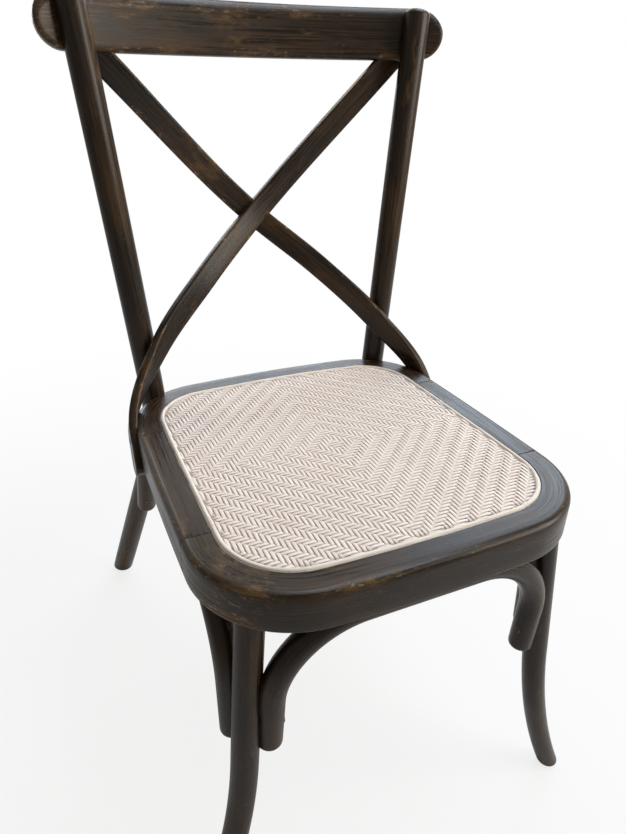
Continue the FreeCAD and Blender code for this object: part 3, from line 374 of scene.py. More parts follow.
@dataclass(frozen=True)
class SeatShape:
    """The seat's rounded trapezoid and how it stands in the chair."""

    height: float = 460.0
    centre_y: float = -64.5
    front_width: float = 429.0
    rear_width: float = 413.0
    depth: float = 434.0
    slope: float = 3.6
    front_bow: float = 11.0
    rear_bow: float = 14.5
    side_bow: float = 3.7
    front_corner: float = 109.0
    rear_corner: float = 100.0
    thick: float = 43.0
    band: float = 50.0
    seam: float = 106.0

    @property
    def turn(self) -> float:
        """The seat's slope in radians."""
        return math.radians(self.slope)

    @property
    def base(self) -> float:
        """Height of the seat's top over its centre."""
        return self.height - self.depth / 2 * math.sin(self.turn)

    @staticmethod
    def nested(one: Triple, two: Triple, radius: float, near: Double) -> Triple:
        """A corner's circle that touches two larger circles from inside.

        Args:
            one: A circle's centre and radius.
            two: The other circle's centre and radius.
            radius: The corner's radius.
            near: A point near the wanted centre.

        Returns:
            The corner's centre and radius.
        """
        reach_a, reach_b = one[2] - radius, two[2] - radius
        gap = math.dist(one[:2], two[:2])
        along = (reach_a ** 2 - reach_b ** 2 + gap ** 2) / (2 * gap)
        aside = math.sqrt(max(reach_a ** 2 - along ** 2, 0.0))
        ux, uy = (two[0] - one[0]) / gap, (two[1] - one[1]) / gap
        choices = [(one[0] + ux * along - uy * off, one[1] + uy * along + ux * off)
                   for off in (aside, -aside)]
        return (*min(choices, key=lambda place: math.dist(place, near)), radius)

    def circles(self) -> Dict[str, Triple]:
        """The circles behind the outline's right half.

        Returns:
            The circles by name, each by its centre and radius.
        """
        half_front, half_rear, half_depth = (
            self.front_width / 2, self.rear_width / 2, self.depth / 2)
        taper = half_front - half_rear
        chord = math.hypot(taper, self.depth)
        front, rear, side = (
            (half ** 2 + bow ** 2) / (2 * bow) for half, bow in (
                (half_front, self.front_bow), (half_rear, self.rear_bow),
                (chord / 2, self.side_bow)))
        inward = side - self.side_bow
        found = {
            "front": (0.0, front - half_depth - self.front_bow, front),
            "rear": (0.0, half_depth + self.rear_bow - rear, rear),
            "side": ((half_front + half_rear) / 2 - self.depth / chord * inward,
                     -taper / chord * inward, side),
        }
        found["front_corner"] = self.nested(
            found["front"], found["side"], self.front_corner, (half_front, -half_depth))
        found["rear_corner"] = self.nested(
            found["rear"], found["side"], self.rear_corner, (half_rear, half_depth))
        return found

    def arcs(self) -> Dict[str, List[Arc]]:
        """The outline's arcs, by the part of the frame that they edge.

        Returns:
            For front, right, back and left, arcs in counterclockwise order.
        """
        found = self.circles()

        def touch(large: str, small: str) -> float:
            """Angle at a large circle's centre where a corner arc touches it."""
            return math.atan2(
                found[small][1] - found[large][1], found[small][0] - found[large][0])

        low, high = (math.asin((end - found["side"][1]) / found["side"][2])
                     for end in (-self.seam, self.seam))
        angles = [
            -math.pi / 2, touch("front", "front_corner"), touch("side", "front_corner"), low,
            high, touch("side", "rear_corner"), touch("rear", "rear_corner"), math.pi / 2]
        names = ["front", "front_corner", "side", "side", "side", "rear_corner", "rear"]
        half = [Arc(*found[name], first, last)
                for name, first, last in zip(names, angles, angles[1:])]
        other = [one.mirrored() for one in reversed(half)]
        return {"front": other[4:] + half[:3], "right": half[3:4],
                "back": half[4:] + other[:3], "left": other[3:4]}

    def loop(self, inset: float, step: float) -> List[Spot]:
        """Places round the whole outline.

        Args:
            inset: How far in from the edge, for the first point of each place.
            step: The longest run between places, along the edge.

        Returns:
            For each place: the inset point, the inward direction, the distance along.
        """
        made, run = [], 0.0
        for one in sum(self.arcs().values(), []):
            length = one.radius * (one.last - one.first)
            count = max(1, math.ceil(length / step))
            for part in range(count):
                angle = one.first + (one.last - one.first) * part / count
                inward = Vector((-math.cos(angle), -math.sin(angle), 0.0))
                made.append((one.at(angle, inset), inward, run + length * part / count))
            run += length
        return made

    def stand(self, point: Vector) -> Vector:
        """Stand a point of the seat's own frame in the chair.

        Args:
            point: across, back and up from the seat's own origin.

        Returns:
            The point in the chair's frame.
        """
        sine, cosine = math.sin(self.turn), math.cos(self.turn)
        return Vector((point.x, self.centre_y + point.y * cosine + point.z * sine,
                       self.base - point.y * sine + point.z * cosine))

    def underside(self, y: float) -> float:
        """Height of the frame's underside at a distance back from the origin."""
        drop = (y - self.centre_y) * math.tan(self.turn)
        return self.base - drop - self.thick / math.cos(self.turn)

    def edge_out(self, y: float) -> float:
        """How far out the frame's edge is, at a distance back from the origin.

        Args:
            y: The distance back.

        Returns:
            The edge's distance from the chair's middle.
        """
        found = self.circles()
        run = (y - self.centre_y) / math.cos(self.turn)
        behind = run > found["rear_corner"][1]
        x, middle, radius = found["rear_corner" if behind else "side"]
        return x + math.sqrt(radius ** 2 - (run - middle) ** 2)


SEAT = SeatShape()


# Node trees


class Signal:
    """A node's output, written into sums and products like a number."""

    def __init__(self, wire: "Wiring", socket: bpy.types.NodeSocket) -> None:
        """Keep the output and the wiring of its tree."""
        self.wire = wire
        self.socket = socket

    def __add__(self, other: object) -> "Signal":
        """This value plus another."""
        return self.wire.math("ADD", self, other)

    def __sub__(self, other: object) -> "Signal":
        """This value less another."""
        return self.wire.math("SUBTRACT", self, other)

    def __rsub__(self, other: float) -> "Signal":
        """A number less this value."""
        return self.wire.math("SUBTRACT", other, self)

    def __mul__(self, other: object) -> "Signal":
        """This value times another."""
        return self.wire.math("MULTIPLY", self, other)

    def __truediv__(self, other: object) -> "Signal":
        """This value divided by another."""
        return self.wire.math("DIVIDE", self, other)


class Wiring:
    """Adds nodes to a tree and joins them, one short call for each node."""

    def __init__(self, tree: bpy.types.NodeTree) -> None:
        """Start on a tree, which is emptied."""
        self.tree = tree
        self.tree.nodes.clear()

    def add(self, kind: str, *given: object, **settings: object) -> bpy.types.Node:
        """Add a node.

        Args:
            kind: The node's type.
            *given: Values or outputs for its inputs, in order; None leaves one alone.
            **settings: Its properties.

        Returns:
            The node.
        """
        count = len(self.tree.nodes)
        node = self.tree.nodes.new(kind)
        node.location = (220 * (count % 9), -260 * (count // 9))
        for key, value in settings.items():
            setattr(node, key, value)
        for socket, value in zip([one for one in node.inputs if one.enabled], given):
            self.feed(socket, value)
        return node

    def get(self, kind: str, *given: object, pick: str = "", **settings: object) -> Signal:
        """Add a node and take one of its outputs.

        Args:
            kind: The node's type.
            *given: What its inputs take, as for add.
            pick: The output's name; without one, the first output in use.
            **settings: Its properties.

        Returns:
            The output.
        """
        node = self.add(kind, *given, **settings)
        used = [socket for socket in node.outputs if socket.enabled]
        return Signal(self, node.outputs[pick] if pick else used[0])

    def feed(self, socket: bpy.types.NodeSocket, value: object) -> None:
        """Give an input a value, or a link if the value is an output.

        Args:
            socket: The input.
            value: A number, colour or text, an output, or None to leave it alone.
        """
        if isinstance(value, Signal):
            self.tree.links.new(value.socket, socket)
        elif value is not None:
            whole = socket.type == "RGBA" and len(value) == 3
            socket.default_value = (*value, 1.0) if whole else value

    def math(self, operation: str, *given: object) -> Signal:
        """The result of a Math node."""
        return self.get("ShaderNodeMath", *given, operation=operation)

    def vector(self, operation: str, *given: object) -> Signal:
        """The result of a Vector Math node."""
        return self.get("ShaderNodeVectorMath", *given, operation=operation)

    def combine(self, x: object, y: object, z: object) -> Signal:
        """A vector of three values."""
        return self.get("ShaderNodeCombineXYZ", x, y, z)

    def noise(
        self, place: Signal, stretch: Triple, detail: float = 3.0, rough: float = 0.55
    ) -> Signal:
        """A noise between 0 and 1.

        Args:
            place: The coordinates it reads.
            stretch: How many times a metre it repeats along each of them.
            detail: Its octaves.
            rough: How strong the finer octaves are.

        Returns:
            The noise's factor.
        """
        scaled = self.vector("MULTIPLY", place, stretch)
        return self.get("ShaderNodeTexNoise", scaled, 1.0, detail, rough, noise_dimensions="3D")

    def span(
        self, value: Signal, low: float, high: float, first: float = 0.0, last: float = 1.0
    ) -> Signal:
        """A value's range mapped smoothly to another, held at its ends."""
        return self.get("ShaderNodeMapRange", value, low, high, first, last,
                        interpolation_type="SMOOTHSTEP")

    def mix(self, share: Signal, first: object, second: object) -> Signal:
        """One colour mixed with another."""
        return self.get("ShaderNodeMix", share, first, second, data_type="RGBA",
                        clamp_factor=True)

    def group(self, group: bpy.types.NodeTree, **given: object) -> Dict[str, Signal]:
        """Add a shared shader group.

        Args:
            group: The group.
            **given: What its inputs take.

        Returns:
            Its outputs by name.
        """
        node = self.add("ShaderNodeGroup", node_tree=group)
        for key, value in given.items():
            self.feed(node.inputs[key], value)
        return {socket.name: Signal(self, socket) for socket in node.outputs}


class Group(Wiring):
    """A node group in the making; its inputs are read by name."""

    def __init__(self, name: str, kind: str, **takes: str) -> None:
        """Start a group.

        Args:
            name: Its name.
            kind: Shader or Geometry.
            **takes: The socket type of each input by name.
        """
        tree = bpy.data.node_groups.new(name, f"{kind}NodeTree")
        super().__init__(tree)
        for label, socket in takes.items():
            tree.interface.new_socket(label, in_out="INPUT", socket_type=f"NodeSocket{socket}")
        entry = self.add("NodeGroupInput")
        self.takes = {socket.name: Signal(self, socket) for socket in entry.outputs}

    def __getitem__(self, label: str) -> Signal:
        """The input of a name."""
        return self.takes[label]

    def give(self, kind: str, **values: Signal) -> bpy.types.NodeTree:
        """Make the outputs, all of one socket type, and hand the group over.

        Args:
            kind: The outputs' socket type.
            **values: What each output gives.

        Returns:
            The group.
        """
        for label in values:
            self.tree.interface.new_socket(
                label, in_out="OUTPUT", socket_type=f"NodeSocket{kind}")
        self.add("NodeGroupOutput", *values.values())
        return self.tree

    def paint(self, geometry: Signal) -> bpy.types.NodeTree:
        """Make the output of a geometry group: a real mesh in the given material.

        Args:
            geometry: The group's geometry.

        Returns:
            The group.
        """
        real = self.get("GeometryNodeRealizeInstances", geometry)
        dressed = self.get("GeometryNodeSetMaterial", real, None, self["Material"])
        return self.give("Geometry", Geometry=dressed)


def realized(
    base: bpy.types.Mesh, group: bpy.types.NodeTree, settings: Dict[str, object], name: str,
    move: Matrix = Matrix.Identity(4),
) -> bpy.types.Object:
    """The plain mesh that a geometry group makes.

    Args:
        base: The mesh that the group starts from; it is removed.
        group: The geometry group.
        settings: The values of the group's inputs by name.
        name: The new object's name.
        move: Where the mesh is placed.

    Returns:
        The new object, at the origin.
    """
    holder = linked(base.name, base)
    modifier = holder.modifiers.new("Made", "NODES")
    modifier.node_group = group
    for item in group.interface.items_tree:
        if item.in_out == "INPUT" and item.name in settings:
            modifier[item.identifier] = settings[item.name]
    holder.update_tag()
    graph = bpy.context.evaluated_depsgraph_get()
    graph.update()
    mesh = bpy.data.meshes.new_from_object(holder.evaluated_get(graph), depsgraph=graph)
    mesh.name = name
    mesh.transform(move)
    bpy.data.objects.remove(holder)
    bpy.data.meshes.remove(base)
    smooth(mesh)
    return linked(name, mesh)


# Finishes


@dataclass(frozen=True)
class WoodFinish:
    """A dark stain on wood, brushed and rubbed through in places."""

    name: str = "espresso_wood"
    dark: Colour = (0.0055, 0.0038, 0.0027)
    light: Colour = (0.036, 0.0208, 0.0102)
    umber: Colour = (0.078, 0.0385, 0.0120)
    rubbed: Colour = (0.16, 0.088, 0.027)
    rubbed_pore: Colour = (0.062, 0.034, 0.014)
    scuffed: Colour = (0.33, 0.27, 0.2)
    scratched: Colour = (0.12, 0.085, 0.055)
    rough: float = 0.34
    shine: float = 0.24
    coat: float = 0.08
    coat_rough: float = 0.22
    relief: Double = (0.00026, 0.7)


@dataclass(frozen=True)
class CaneFinish:
    """Woven strands, with painted shade where they pass under, along their sides and where they
    tuck under the reed.
    """

    name: str = "woven_cane_strand"
    pale: Colour = (0.86, 0.765, 0.69)
    warm: Colour = (0.76, 0.635, 0.555)
    # deep: painted shade where a strand dips under the crossing strands and along each strand's
    # sides
    deep: Colour = (0.58, 0.45, 0.375)
    # gap: painted shade where the strand ends tuck under the reed
    gap: Colour = (0.30, 0.215, 0.165)
    rough: float = 0.55
    relief: Double = (0.00018, 0.7)


@dataclass(frozen=True)
class ReedFinish:
    """The round reed that holds the weave in its groove."""

    name: str = "cream_reed"
    pale: Colour = (0.77, 0.69, 0.605)
    fibre: Colour = (0.64, 0.555, 0.46)
    stained: Colour = (0.36, 0.27, 0.19)
    rough: float = 0.45
    worn: float = 0.2
    relief: Double = (0.0002, 0.6)


@dataclass(frozen=True)
class MetalFinish:
    """Dark zinc on the screws."""

    name: str = "dark_screw_steel"
    dark: Colour = (0.055, 0.052, 0.048)
    bright: Colour = (0.26, 0.25, 0.235)
    metallic: float = 0.9
    rough: float = 0.42
    worn: float = 0.5
    relief: Double = (0.00005, 0.6)


@dataclass(frozen=True)
class GlideFinish:
    """Moulded nylon under the feet."""

    name: str = "black_nylon"
    base: Colour = (0.016, 0.016, 0.017)
    rubbed: Colour = (0.085, 0.082, 0.078)
    rough: float = 0.55
    relief: Double = (0.00008, 0.7)


@dataclass(frozen=True)
class DowelFinish:
    """Bare beech of the hidden dowels."""

    name: str = "bare_beech"
    base: Colour = (0.52, 0.35, 0.2)
    fleck: Colour = (0.33, 0.19, 0.095)
    rough: float = 0.6
    relief: Double = (0.0001, 0.6)


def brushed_grain() -> bpy.types.NodeTree:
    """Shared group: long brush streaks, fine pores and broad blotches of a stain.

    Returns:
        The group, whose values are from 0 to 1.
    """
    wire = Group("BrushedGrain", "Shader", Place="Vector")
    place = wire["Place"]
    bend = (wire.noise(place, (22.0, 22.0, 7.0), 2.0) - 0.5) * 0.004
    swayed = wire.vector("ADD", place, wire.combine(bend, bend, 0.0))
    streak = wire.noise(swayed, (520.0, 520.0, 9.0), 4.0, 0.62)
    fine = wire.noise(swayed, (1900.0, 1900.0, 46.0), 2.0, 0.6)
    patch = wire.noise(place, (26.0, 26.0, 8.5), 4.0, 0.6)
    return wire.give(
        "Float", Streak=wire.span(streak, 0.34, 0.66), Fine=wire.span(fine, 0.32, 0.7),
        Patch=wire.span(patch, 0.36, 0.66), Height=streak * 0.65 + fine * 0.35)


def edge_wear() -> bpy.types.NodeTree:
    """Shared group: where a finish is rubbed through and where it is scuffed pale.

    Returns:
        The group, whose two masks are from 0 to 1.
    """
    wire = Group("EdgeWear", "Shader", Place="Vector", Wear="Float")
    place, exposed = wire["Place"], wire["Wear"]
    broad = wire.noise(place, (34.0, 34.0, 13.0), 4.0, 0.62)
    ragged = wire.noise(place, (210.0, 210.0, 48.0), 3.0, 0.6)
    flakes = wire.noise(place, (330.0, 330.0, 120.0), 3.0, 0.7)
    level = broad + (ragged - 0.5) * 0.32 + exposed * 0.1
    chipped = flakes + wire.math("MINIMUM", exposed, 1.0) * 0.16
    return wire.give(
        "Float", Rubbed=wire.span(level, 0.6, 0.8),
        Scuffed=wire.span(chipped, 0.72, 0.8) * wire.span(broad, 0.42, 0.62))


def scratches() -> bpy.types.NodeTree:
    """Shared group: thin scratches that run roughly across the grain.

    Returns:
        The group, whose mask is from 0 to 1.
    """
    wire = Group("Scratches", "Shader", Place="Vector")
    place = wire["Place"]
    warp = (wire.noise(place, (60.0, 60.0, 60.0), 2.0) - 0.5) * 0.01
    bent = wire.vector("ADD", place, wire.combine(warp, warp, warp))
    turned = wire.get("ShaderNodeVectorRotate", bent, None, (0.6, 0.5, 0.62), 0.7,
                      rotation_type="AXIS_ANGLE")
    crest = wire.math("ABSOLUTE", wire.noise(turned, (70.0, 900.0, 70.0), 1.0, 0.4) - 0.5)
    where = wire.span(wire.noise(place, (45.0, 45.0, 30.0), 2.0), 0.56, 0.66)
    return wire.give("Float", Mask=wire.span(crest, 0.004, 0.012, 1.0, 0.0) * where)


class Paint(Wiring):
    """A material in the making, with its Principled shader and the place it reads."""

    def __init__(self, name: str, grained: bool = False) -> None:
        """Start a material.

        Args:
            name: Its name.
            grained: Whether it reads the grain attribute, or else the object's space.
        """
        self.material = bpy.data.materials.new(name)
        self.material.use_nodes = True
        super().__init__(self.material.node_tree)
        self.shader = self.add("ShaderNodeBsdfPrincipled")
        self.leave = self.add(
            "ShaderNodeOutputMaterial", Signal(self, self.shader.outputs["BSDF"]))
        self.place = (self.attribute("grain", "Vector") if grained
                      else self.get("ShaderNodeTexCoord", pick="Object"))

    def attribute(self, name: str, part: str = "Fac") -> Signal:
        """An attribute that the meshes carry."""
        return self.get("ShaderNodeAttribute", pick=part, attribute_name=name)

    def soft(
        self, stretch: Triple, low: float, high: float, detail: float = 3.0, rough: float = 0.55
    ) -> Signal:
        """A noise over the material's place, with its middle range spread from 0 to 1."""
        return self.span(self.noise(self.place, stretch, detail, rough), low, high)

    def raise_by(self, height: Signal, relief: Double) -> None:
        """Raise the surface; the relief is a height of 1 in metres and how much of it shows."""
        bump = self.get("ShaderNodeBump", relief[1], relief[0], None, height)
        self.feed(self.shader.inputs["Normal"], bump)

    def close(self, colour: Signal, rough: object, **inputs: object) -> bpy.types.Material:
        """Set the shader's colour, roughness and other inputs.

        Args:
            colour: The base colour.
            rough: The roughness.
            **inputs: Other inputs by name, with underscores for spaces.

        Returns:
            The material.
        """
        for key, value in {"Base_Color": colour, "Roughness": rough, **inputs}.items():
            self.feed(self.shader.inputs[key.replace("_", " ")], value)
        return self.material


class Finishes:
    """The chair's materials, made once and given to pieces by slot."""

    def __init__(self) -> None:
        """Make the shared groups and then each material."""
        self.grain = brushed_grain()
        self.wear = edge_wear()
        self.scratch = scratches()
        self.made: Dict[Slot, bpy.types.Material] = {
            Slot.WOOD: self.wood(WoodFinish()),
            Slot.CANE: self.cane(CaneFinish()),
            Slot.REED: self.reed(ReedFinish()),
            Slot.STEEL: self.metal(MetalFinish()),
            Slot.GLIDE: self.glide(GlideFinish()),
            Slot.DOWEL: self.dowel(DowelFinish()),
        }

    def __getitem__(self, slot: Slot) -> bpy.types.Material:
        """The material of a slot."""
        return self.made[slot]

    def wood(self, finish: WoodFinish) -> bpy.types.Material:
        """Dark stained wood from the grain and wear attributes.

        Args:
            finish: Its colours and values.

        Returns:
            The material.
        """
        paint = Paint(finish.name, grained=True)
        grain = paint.group(self.grain, Place=paint.place)
        wear = paint.group(self.wear, Place=paint.place, Wear=paint.attribute("wear"))
        scratch = paint.group(self.scratch, Place=paint.place)["Mask"]
        streak, rubbed, scuffed = grain["Streak"], wear["Rubbed"], wear["Scuffed"]
        warm = paint.soft((17.0, 17.0, 5.5), 0.42, 0.66)
        lit = paint.mix(warm * 0.85, finish.light, finish.umber)
        colour = paint.mix(streak * 0.62 + grain["Patch"] * 0.38, finish.dark, lit)
        amber = paint.mix(streak, finish.rubbed, finish.rubbed_pore)
        for share, over in (
                (grain["Fine"] * 0.25, finish.dark), (rubbed * 0.85, amber),
                (scuffed * 0.5, finish.scuffed), (scratch * 0.45, finish.scratched)):
            colour = paint.mix(share, colour, over)
        paint.raise_by(grain["Height"] - scratch * 0.25 - scuffed * 0.2, finish.relief)
        return paint.close(
            colour, (streak - 0.5) * 0.22 + rubbed * 0.12 + finish.rough,
            Specular_IOR_Level=finish.shine, Coat_Roughness=finish.coat_rough,
            Coat_Weight=(1.0 - rubbed) * finish.coat)

    def cane(self, finish: CaneFinish) -> bpy.types.Material:
        """Pale strands that differ in tone, with painted shade where they dip under, along their
        sides and where they tuck under the reed.

        Args:
            finish: Its colours and values.

        Returns:
            The material.
        """
        paint = Paint(finish.name, grained=True)
        fibre = paint.soft((2600.0, 2600.0, 30.0), 0.3, 0.7)
        cloud = paint.soft((16.0, 16.0, 16.0), 0.35, 0.68)
        share = paint.attribute("tone") * 0.55 + cloud * 0.3 + fibre * 0.25
        colour = paint.mix(share, finish.pale, finish.warm)
        # Painted shade: strands darken where the weave carries them low, under the crossing
        # strands.
        low = paint.span(paint.attribute("lift"), -0.75, 0.55, 1.0, 0.0)
        rim = paint.span(paint.attribute("rim"), 0.45, 1.0)
        # These three mixes paint shade: under crossings, where the ends tuck under the reed, and
        # along each strand's sides between neighbours.
        for share, over in (
                (low * 0.8, finish.deep), (paint.attribute("tucked") * 0.85, finish.gap),
                (rim * 0.6, finish.deep)):
            colour = paint.mix(share, colour, over)
        paint.raise_by(fibre, finish.relief)
        return paint.close(colour, fibre * 0.18 + finish.rough)

    def reed(self, finish: ReedFinish) -> bpy.types.Material:
        """Cream reed with fine fibres and stained stretches.

        Args:
            finish: Its colours and values.

        Returns:
            The material.
        """
        paint = Paint(finish.name, grained=True)
        fibre = paint.soft((1500.0, 1500.0, 24.0), 0.3, 0.7)
        stain = paint.soft((90.0, 90.0, 22.0), 0.56, 0.74, 4.0, 0.65)
        worn = paint.group(self.wear, Place=paint.place, Wear=finish.worn)["Scuffed"]
        colour = paint.mix(fibre * 0.4, finish.pale, finish.fibre)
        colour = paint.mix(stain * 0.75, colour, finish.stained)
        colour = paint.mix(worn * 0.5, colour, finish.stained)
        paint.raise_by(fibre, finish.relief)
        return paint.close(colour, fibre * 0.2 + finish.rough)

    def metal(self, finish: MetalFinish) -> bpy.types.Material:
        """Dark plated steel, brighter where a driver has rubbed it.

        Args:
            finish: Its colours and values.

        Returns:
            The material.
        """
        paint = Paint(finish.name)
        worn = paint.group(self.wear, Place=paint.place, Wear=finish.worn)["Scuffed"]
        speck = paint.soft((1300.0, 1300.0, 1300.0), 0.35, 0.7)
        colour = paint.mix(speck * 0.4, finish.dark, finish.bright)
        colour = paint.mix(worn, colour, finish.bright)
        paint.raise_by(speck, finish.relief)
        return paint.close(colour, speck * 0.2 + finish.rough, Metallic=finish.metallic)

    def glide(self, finish: GlideFinish) -> bpy.types.Material:
        """Fine-grained nylon, greyed underneath.

        Args:
            finish: Its colours and values.

        Returns:
            The material.
        """
        paint = Paint(finish.name)
        speck = paint.soft((2200.0, 2200.0, 2200.0), 0.35, 0.65)
        smear = paint.soft((160.0, 420.0, 160.0), 0.5, 0.72, 4.0, 0.65)
        paint.raise_by(speck, finish.relief)
        return paint.close(
            paint.mix(smear, finish.base, finish.rubbed), speck * 0.2 + finish.rough)

    def dowel(self, finish: DowelFinish) -> bpy.types.Material:
        """Bare beech with short flecks along the dowel.

        Args:
            finish: Its colours and values.

        Returns:
            The material.
        """
        paint = Paint(finish.name)
        fleck = paint.soft((900.0, 60.0, 900.0), 0.45, 0.7)
        broad = paint.soft((60.0, 12.0, 60.0), 0.3, 0.7)
        colour = paint.mix(broad * 0.4, finish.base, finish.fleck)
        paint.raise_by(fleck, finish.relief)
        return paint.close(
            paint.mix(fleck, colour, finish.fleck), fleck * 0.15 + finish.rough)


# Assemblies


@dataclass
class Assembly:
    """A sub-assembly: it builds its pieces, then dresses and joins them to the frame."""

    finishes: Finishes
    pieces: List[Tuple[bpy.types.Object, Slot, str]] = field(default_factory=list, init=False)

    def keep(self, piece: bpy.types.Object, slot: Slot, node: str) -> None:
        """Note a piece, the slot of its finish and the CAD node it stands for."""
        self.pieces.append((piece, slot, node))

    def build(self) -> None:
        """Make the pieces."""
        raise NotImplementedError

    def dress(self) -> None:
        """Give each piece its finish and its body, and hide the CAD node that it stands for."""
        for piece, slot, node in self.pieces:
            piece.data.materials.clear()
            piece.data.materials.append(self.finishes[slot])
            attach(piece, BODY)
            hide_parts(node)
            LOG.info("%s: %d faces, %s", piece.name, len(piece.data.polygons), slot.value)


@dataclass
class FrontLegs(Assembly):
    """Two turned legs that lean out and end in feet that kick out."""

    foot_width: float = 497.0
    foot_depth: float = 599.0
    inset: float = 16.7
    angle: float = 46.0
    top: float = 30.0
    foot: float = 28.0
    kick: float = 42.5
    kick_height: float = 228.0
    foot_round: float = 4.0
    floor: float = 3.0
    under: float = 2.5
    tenon: float = 20.0
    tenon_length: float = 28.0
    sole: Double = (2.5, 6.0)
    foot_wear: float = 0.75
    wear_fade: float = 3.2
    crowding: float = 1.2
    sections: int = 44
    sides: int = 36

    def __post_init__(self) -> None:
        """Work out where the leg meets the frame."""
        x, y, _ = SEAT.circles()["front_corner"]
        reach, turn = SEAT.front_corner - self.inset, math.radians(self.angle)
        self.head = Vector((
            x + reach * math.sin(turn), SEAT.centre_y + y - reach * math.cos(turn), 0.0))
        self.head.z = SEAT.underside(self.head.y)
        self.base = Vector((self.foot_width / 2, -self.foot_depth / 2, 0.0))

    def axis(self, height: float) -> Vector:
        """The right leg's centre at a height.

        Args:
            height: The height above the floor.

        Returns:
            The centre; the leg kicks out below the kick's height.
        """
        low = self.base - Vector((self.kick, 0.0, 0.0))
        place = low.lerp(Vector((self.head.x, self.head.y, 0.0)), height / self.head.z)
        if height < self.kick_height:
            place.x += self.kick * (1 - height / self.kick_height) ** 2
        place.z = height
        return place

    def radius(self, height: float) -> float:
        """The leg's radius at a height."""
        return (self.foot + (self.top - self.foot) * height / self.head.z) / 2

    def stations(self, side: Side) -> List[Station]:
        """Sections from the foot's middle to the top of the tenon.

        Args:
            side: The leg's side.

        Returns:
            The sections, from the floor up.
        """
        low, top = self.floor + self.foot_round, self.head.z + self.under
        made = [Station(self.axis(self.floor), wide, UP) for wide in self.sole]
        for step, turn in enumerate(turns(5)):
            height = self.floor + self.foot_round * (1 - math.cos(turn))
            wide = self.radius(height) - self.foot_round * (1 - math.sin(turn))
            made.append(Station(self.axis(height), wide, UP, 1.0 - step / 8))
        for step in range(1, self.sections + 1):
            share = (step / self.sections) ** self.crowding
            height = low + (top - low) * share
            rubbed = max(0.0, self.foot_wear - share * self.wear_fade)
            made.append(Station(self.axis(height), self.radius(height), UP, rubbed))
        for place in (self.axis(top), self.head + UP * self.tenon_length):
            made.append(Station(place, self.tenon / 2, UP))
        return [replace(one, centre=side.of(one.centre)) for one in made]

    def build(self) -> None:
        """Make both legs."""
        for number, side in enumerate(Side):
            draft = round_member(
                f"turned_front_leg_{side.word}", number, self.stations(side), self.sides)
            self.keep(draft.finish(), Slot.WOOD, f"front_leg_{side.word}")


@dataclass
class RearLegs(Assembly):
    """Two bent round members: post, knee at the seat, and a leg that sweeps back."""

    foot_width: float = 455.0
    foot_depth: float = 599.0
    diameter: float = 32.0
    post_height: float = 886.0
    top_width: float = 420.0
    top_back: float = 194.0
    knee_width: float = 331.0
    knee_back: float = 147.0
    knee_height: float = 378.0
    bend: float = 260.0
    dome: float = 6.1
    floor: float = 3.0
    foot_round: float = 4.0
    foot_taper: float = 0.02
    foot_wear: float = 0.7
    foot_fade: float = 190.0
    top_fade: float = 700.0
    dome_turn: float = 86.0
    dome_power: float = 0.9
    lowest: float = 24.0
    longest: float = 22.0
    arc_step: float = 3.0
    sides: int = 36

    def __post_init__(self) -> None:
        """Work out the leg's three marks."""
        self.top = Vector((self.top_width / 2, self.top_back, self.post_height))
        self.knee = Vector((self.knee_width / 2, self.knee_back, self.knee_height))
        self.base = Vector((self.foot_width / 2, self.foot_depth / 2, 0.0))

    def post(self, height: float) -> Vector:
        """The right post's centre at a height above the knee."""
        return self.knee.lerp(self.top, (height - self.knee.z) / (self.top.z - self.knee.z))

    def leg(self, height: float) -> Vector:
        """The right leg's centre at a height below the knee."""
        return self.knee.lerp(self.base, (self.knee.z - height) / self.knee.z)

    def draft(self, side: Side, number: int) -> Draft:
        """One leg: its rod swept up from a level foot to a domed top.

        Args:
            side: The leg's side.
            number: The piece's number.

        Returns:
            The draft of the leg.
        """
        radius = self.diameter / 2
        path = rounded_path([self.base, self.knee, self.top], self.bend, self.arc_step)
        path = [side.of(place) for place in split_runs(path, self.longest)]
        stations = []
        for place, before, after in zip(path, path[:1] + path, path[1:] + path[-1:]):
            if place.z >= self.lowest:
                rubbed = (max(0.0, self.foot_wear - place.z / self.foot_fade)
                          + max(0.0, place.z / self.top_fade - 1.0))
                stations.append(Station(place, radius, unit(after - before), rubbed))
        crown = stations[-1].facing
        for turn in turns(8, self.dome_turn)[1:]:
            stations.append(Station(path[-1] + crown * (self.dome * math.sin(turn)),
                                    radius * math.cos(turn) ** self.dome_power, crown, 1.0))
        made = round_member(
            f"bent_rear_leg_{side.word}", number, stations, self.sides, open_start=True)
        self.level(made, unit(path[1] - path[0]))
        return made

    def level(self, made: Draft, up: Vector) -> None:
        """Carry the lowest section down to a level, softened foot.

        Args:
            made: The rod's draft; its first ring is its lowest section.
            up: The direction of the leg's lower run.
        """
        rings = [list(range(self.sides))]
        start = [(made.points[number], made.grain[number]) for number in rings[0]]
        centre = sum((place for place, _ in start), Vector()) / self.sides
        for step, turn in enumerate(turns(5)):
            height = self.floor + self.foot_round * (1 - math.sin(turn))
            share = (1 - self.foot_taper
                     - self.foot_round * (1 - math.cos(turn)) / (self.diameter / 2))
            foot = centre + up * ((height - centre.z) / up.z)
            layer = []
            for above, grain in start:
                place = foot + (above + up * ((height - above.z) / up.z) - foot) * share
                down = UP * (above - place).length
                layer.append((place, grain - down, 0.6 + 0.4 * step / 5))
            rings.append(made.add(layer))
        made.loft(rings)
        made.cap(rings[-1])

    def build(self) -> None:
        """Make both legs."""
        for number, side in enumerate(Side, start=4):
            self.keep(self.draft(side, number).finish(), Slot.WOOD, f"rear_leg_{side.word}")


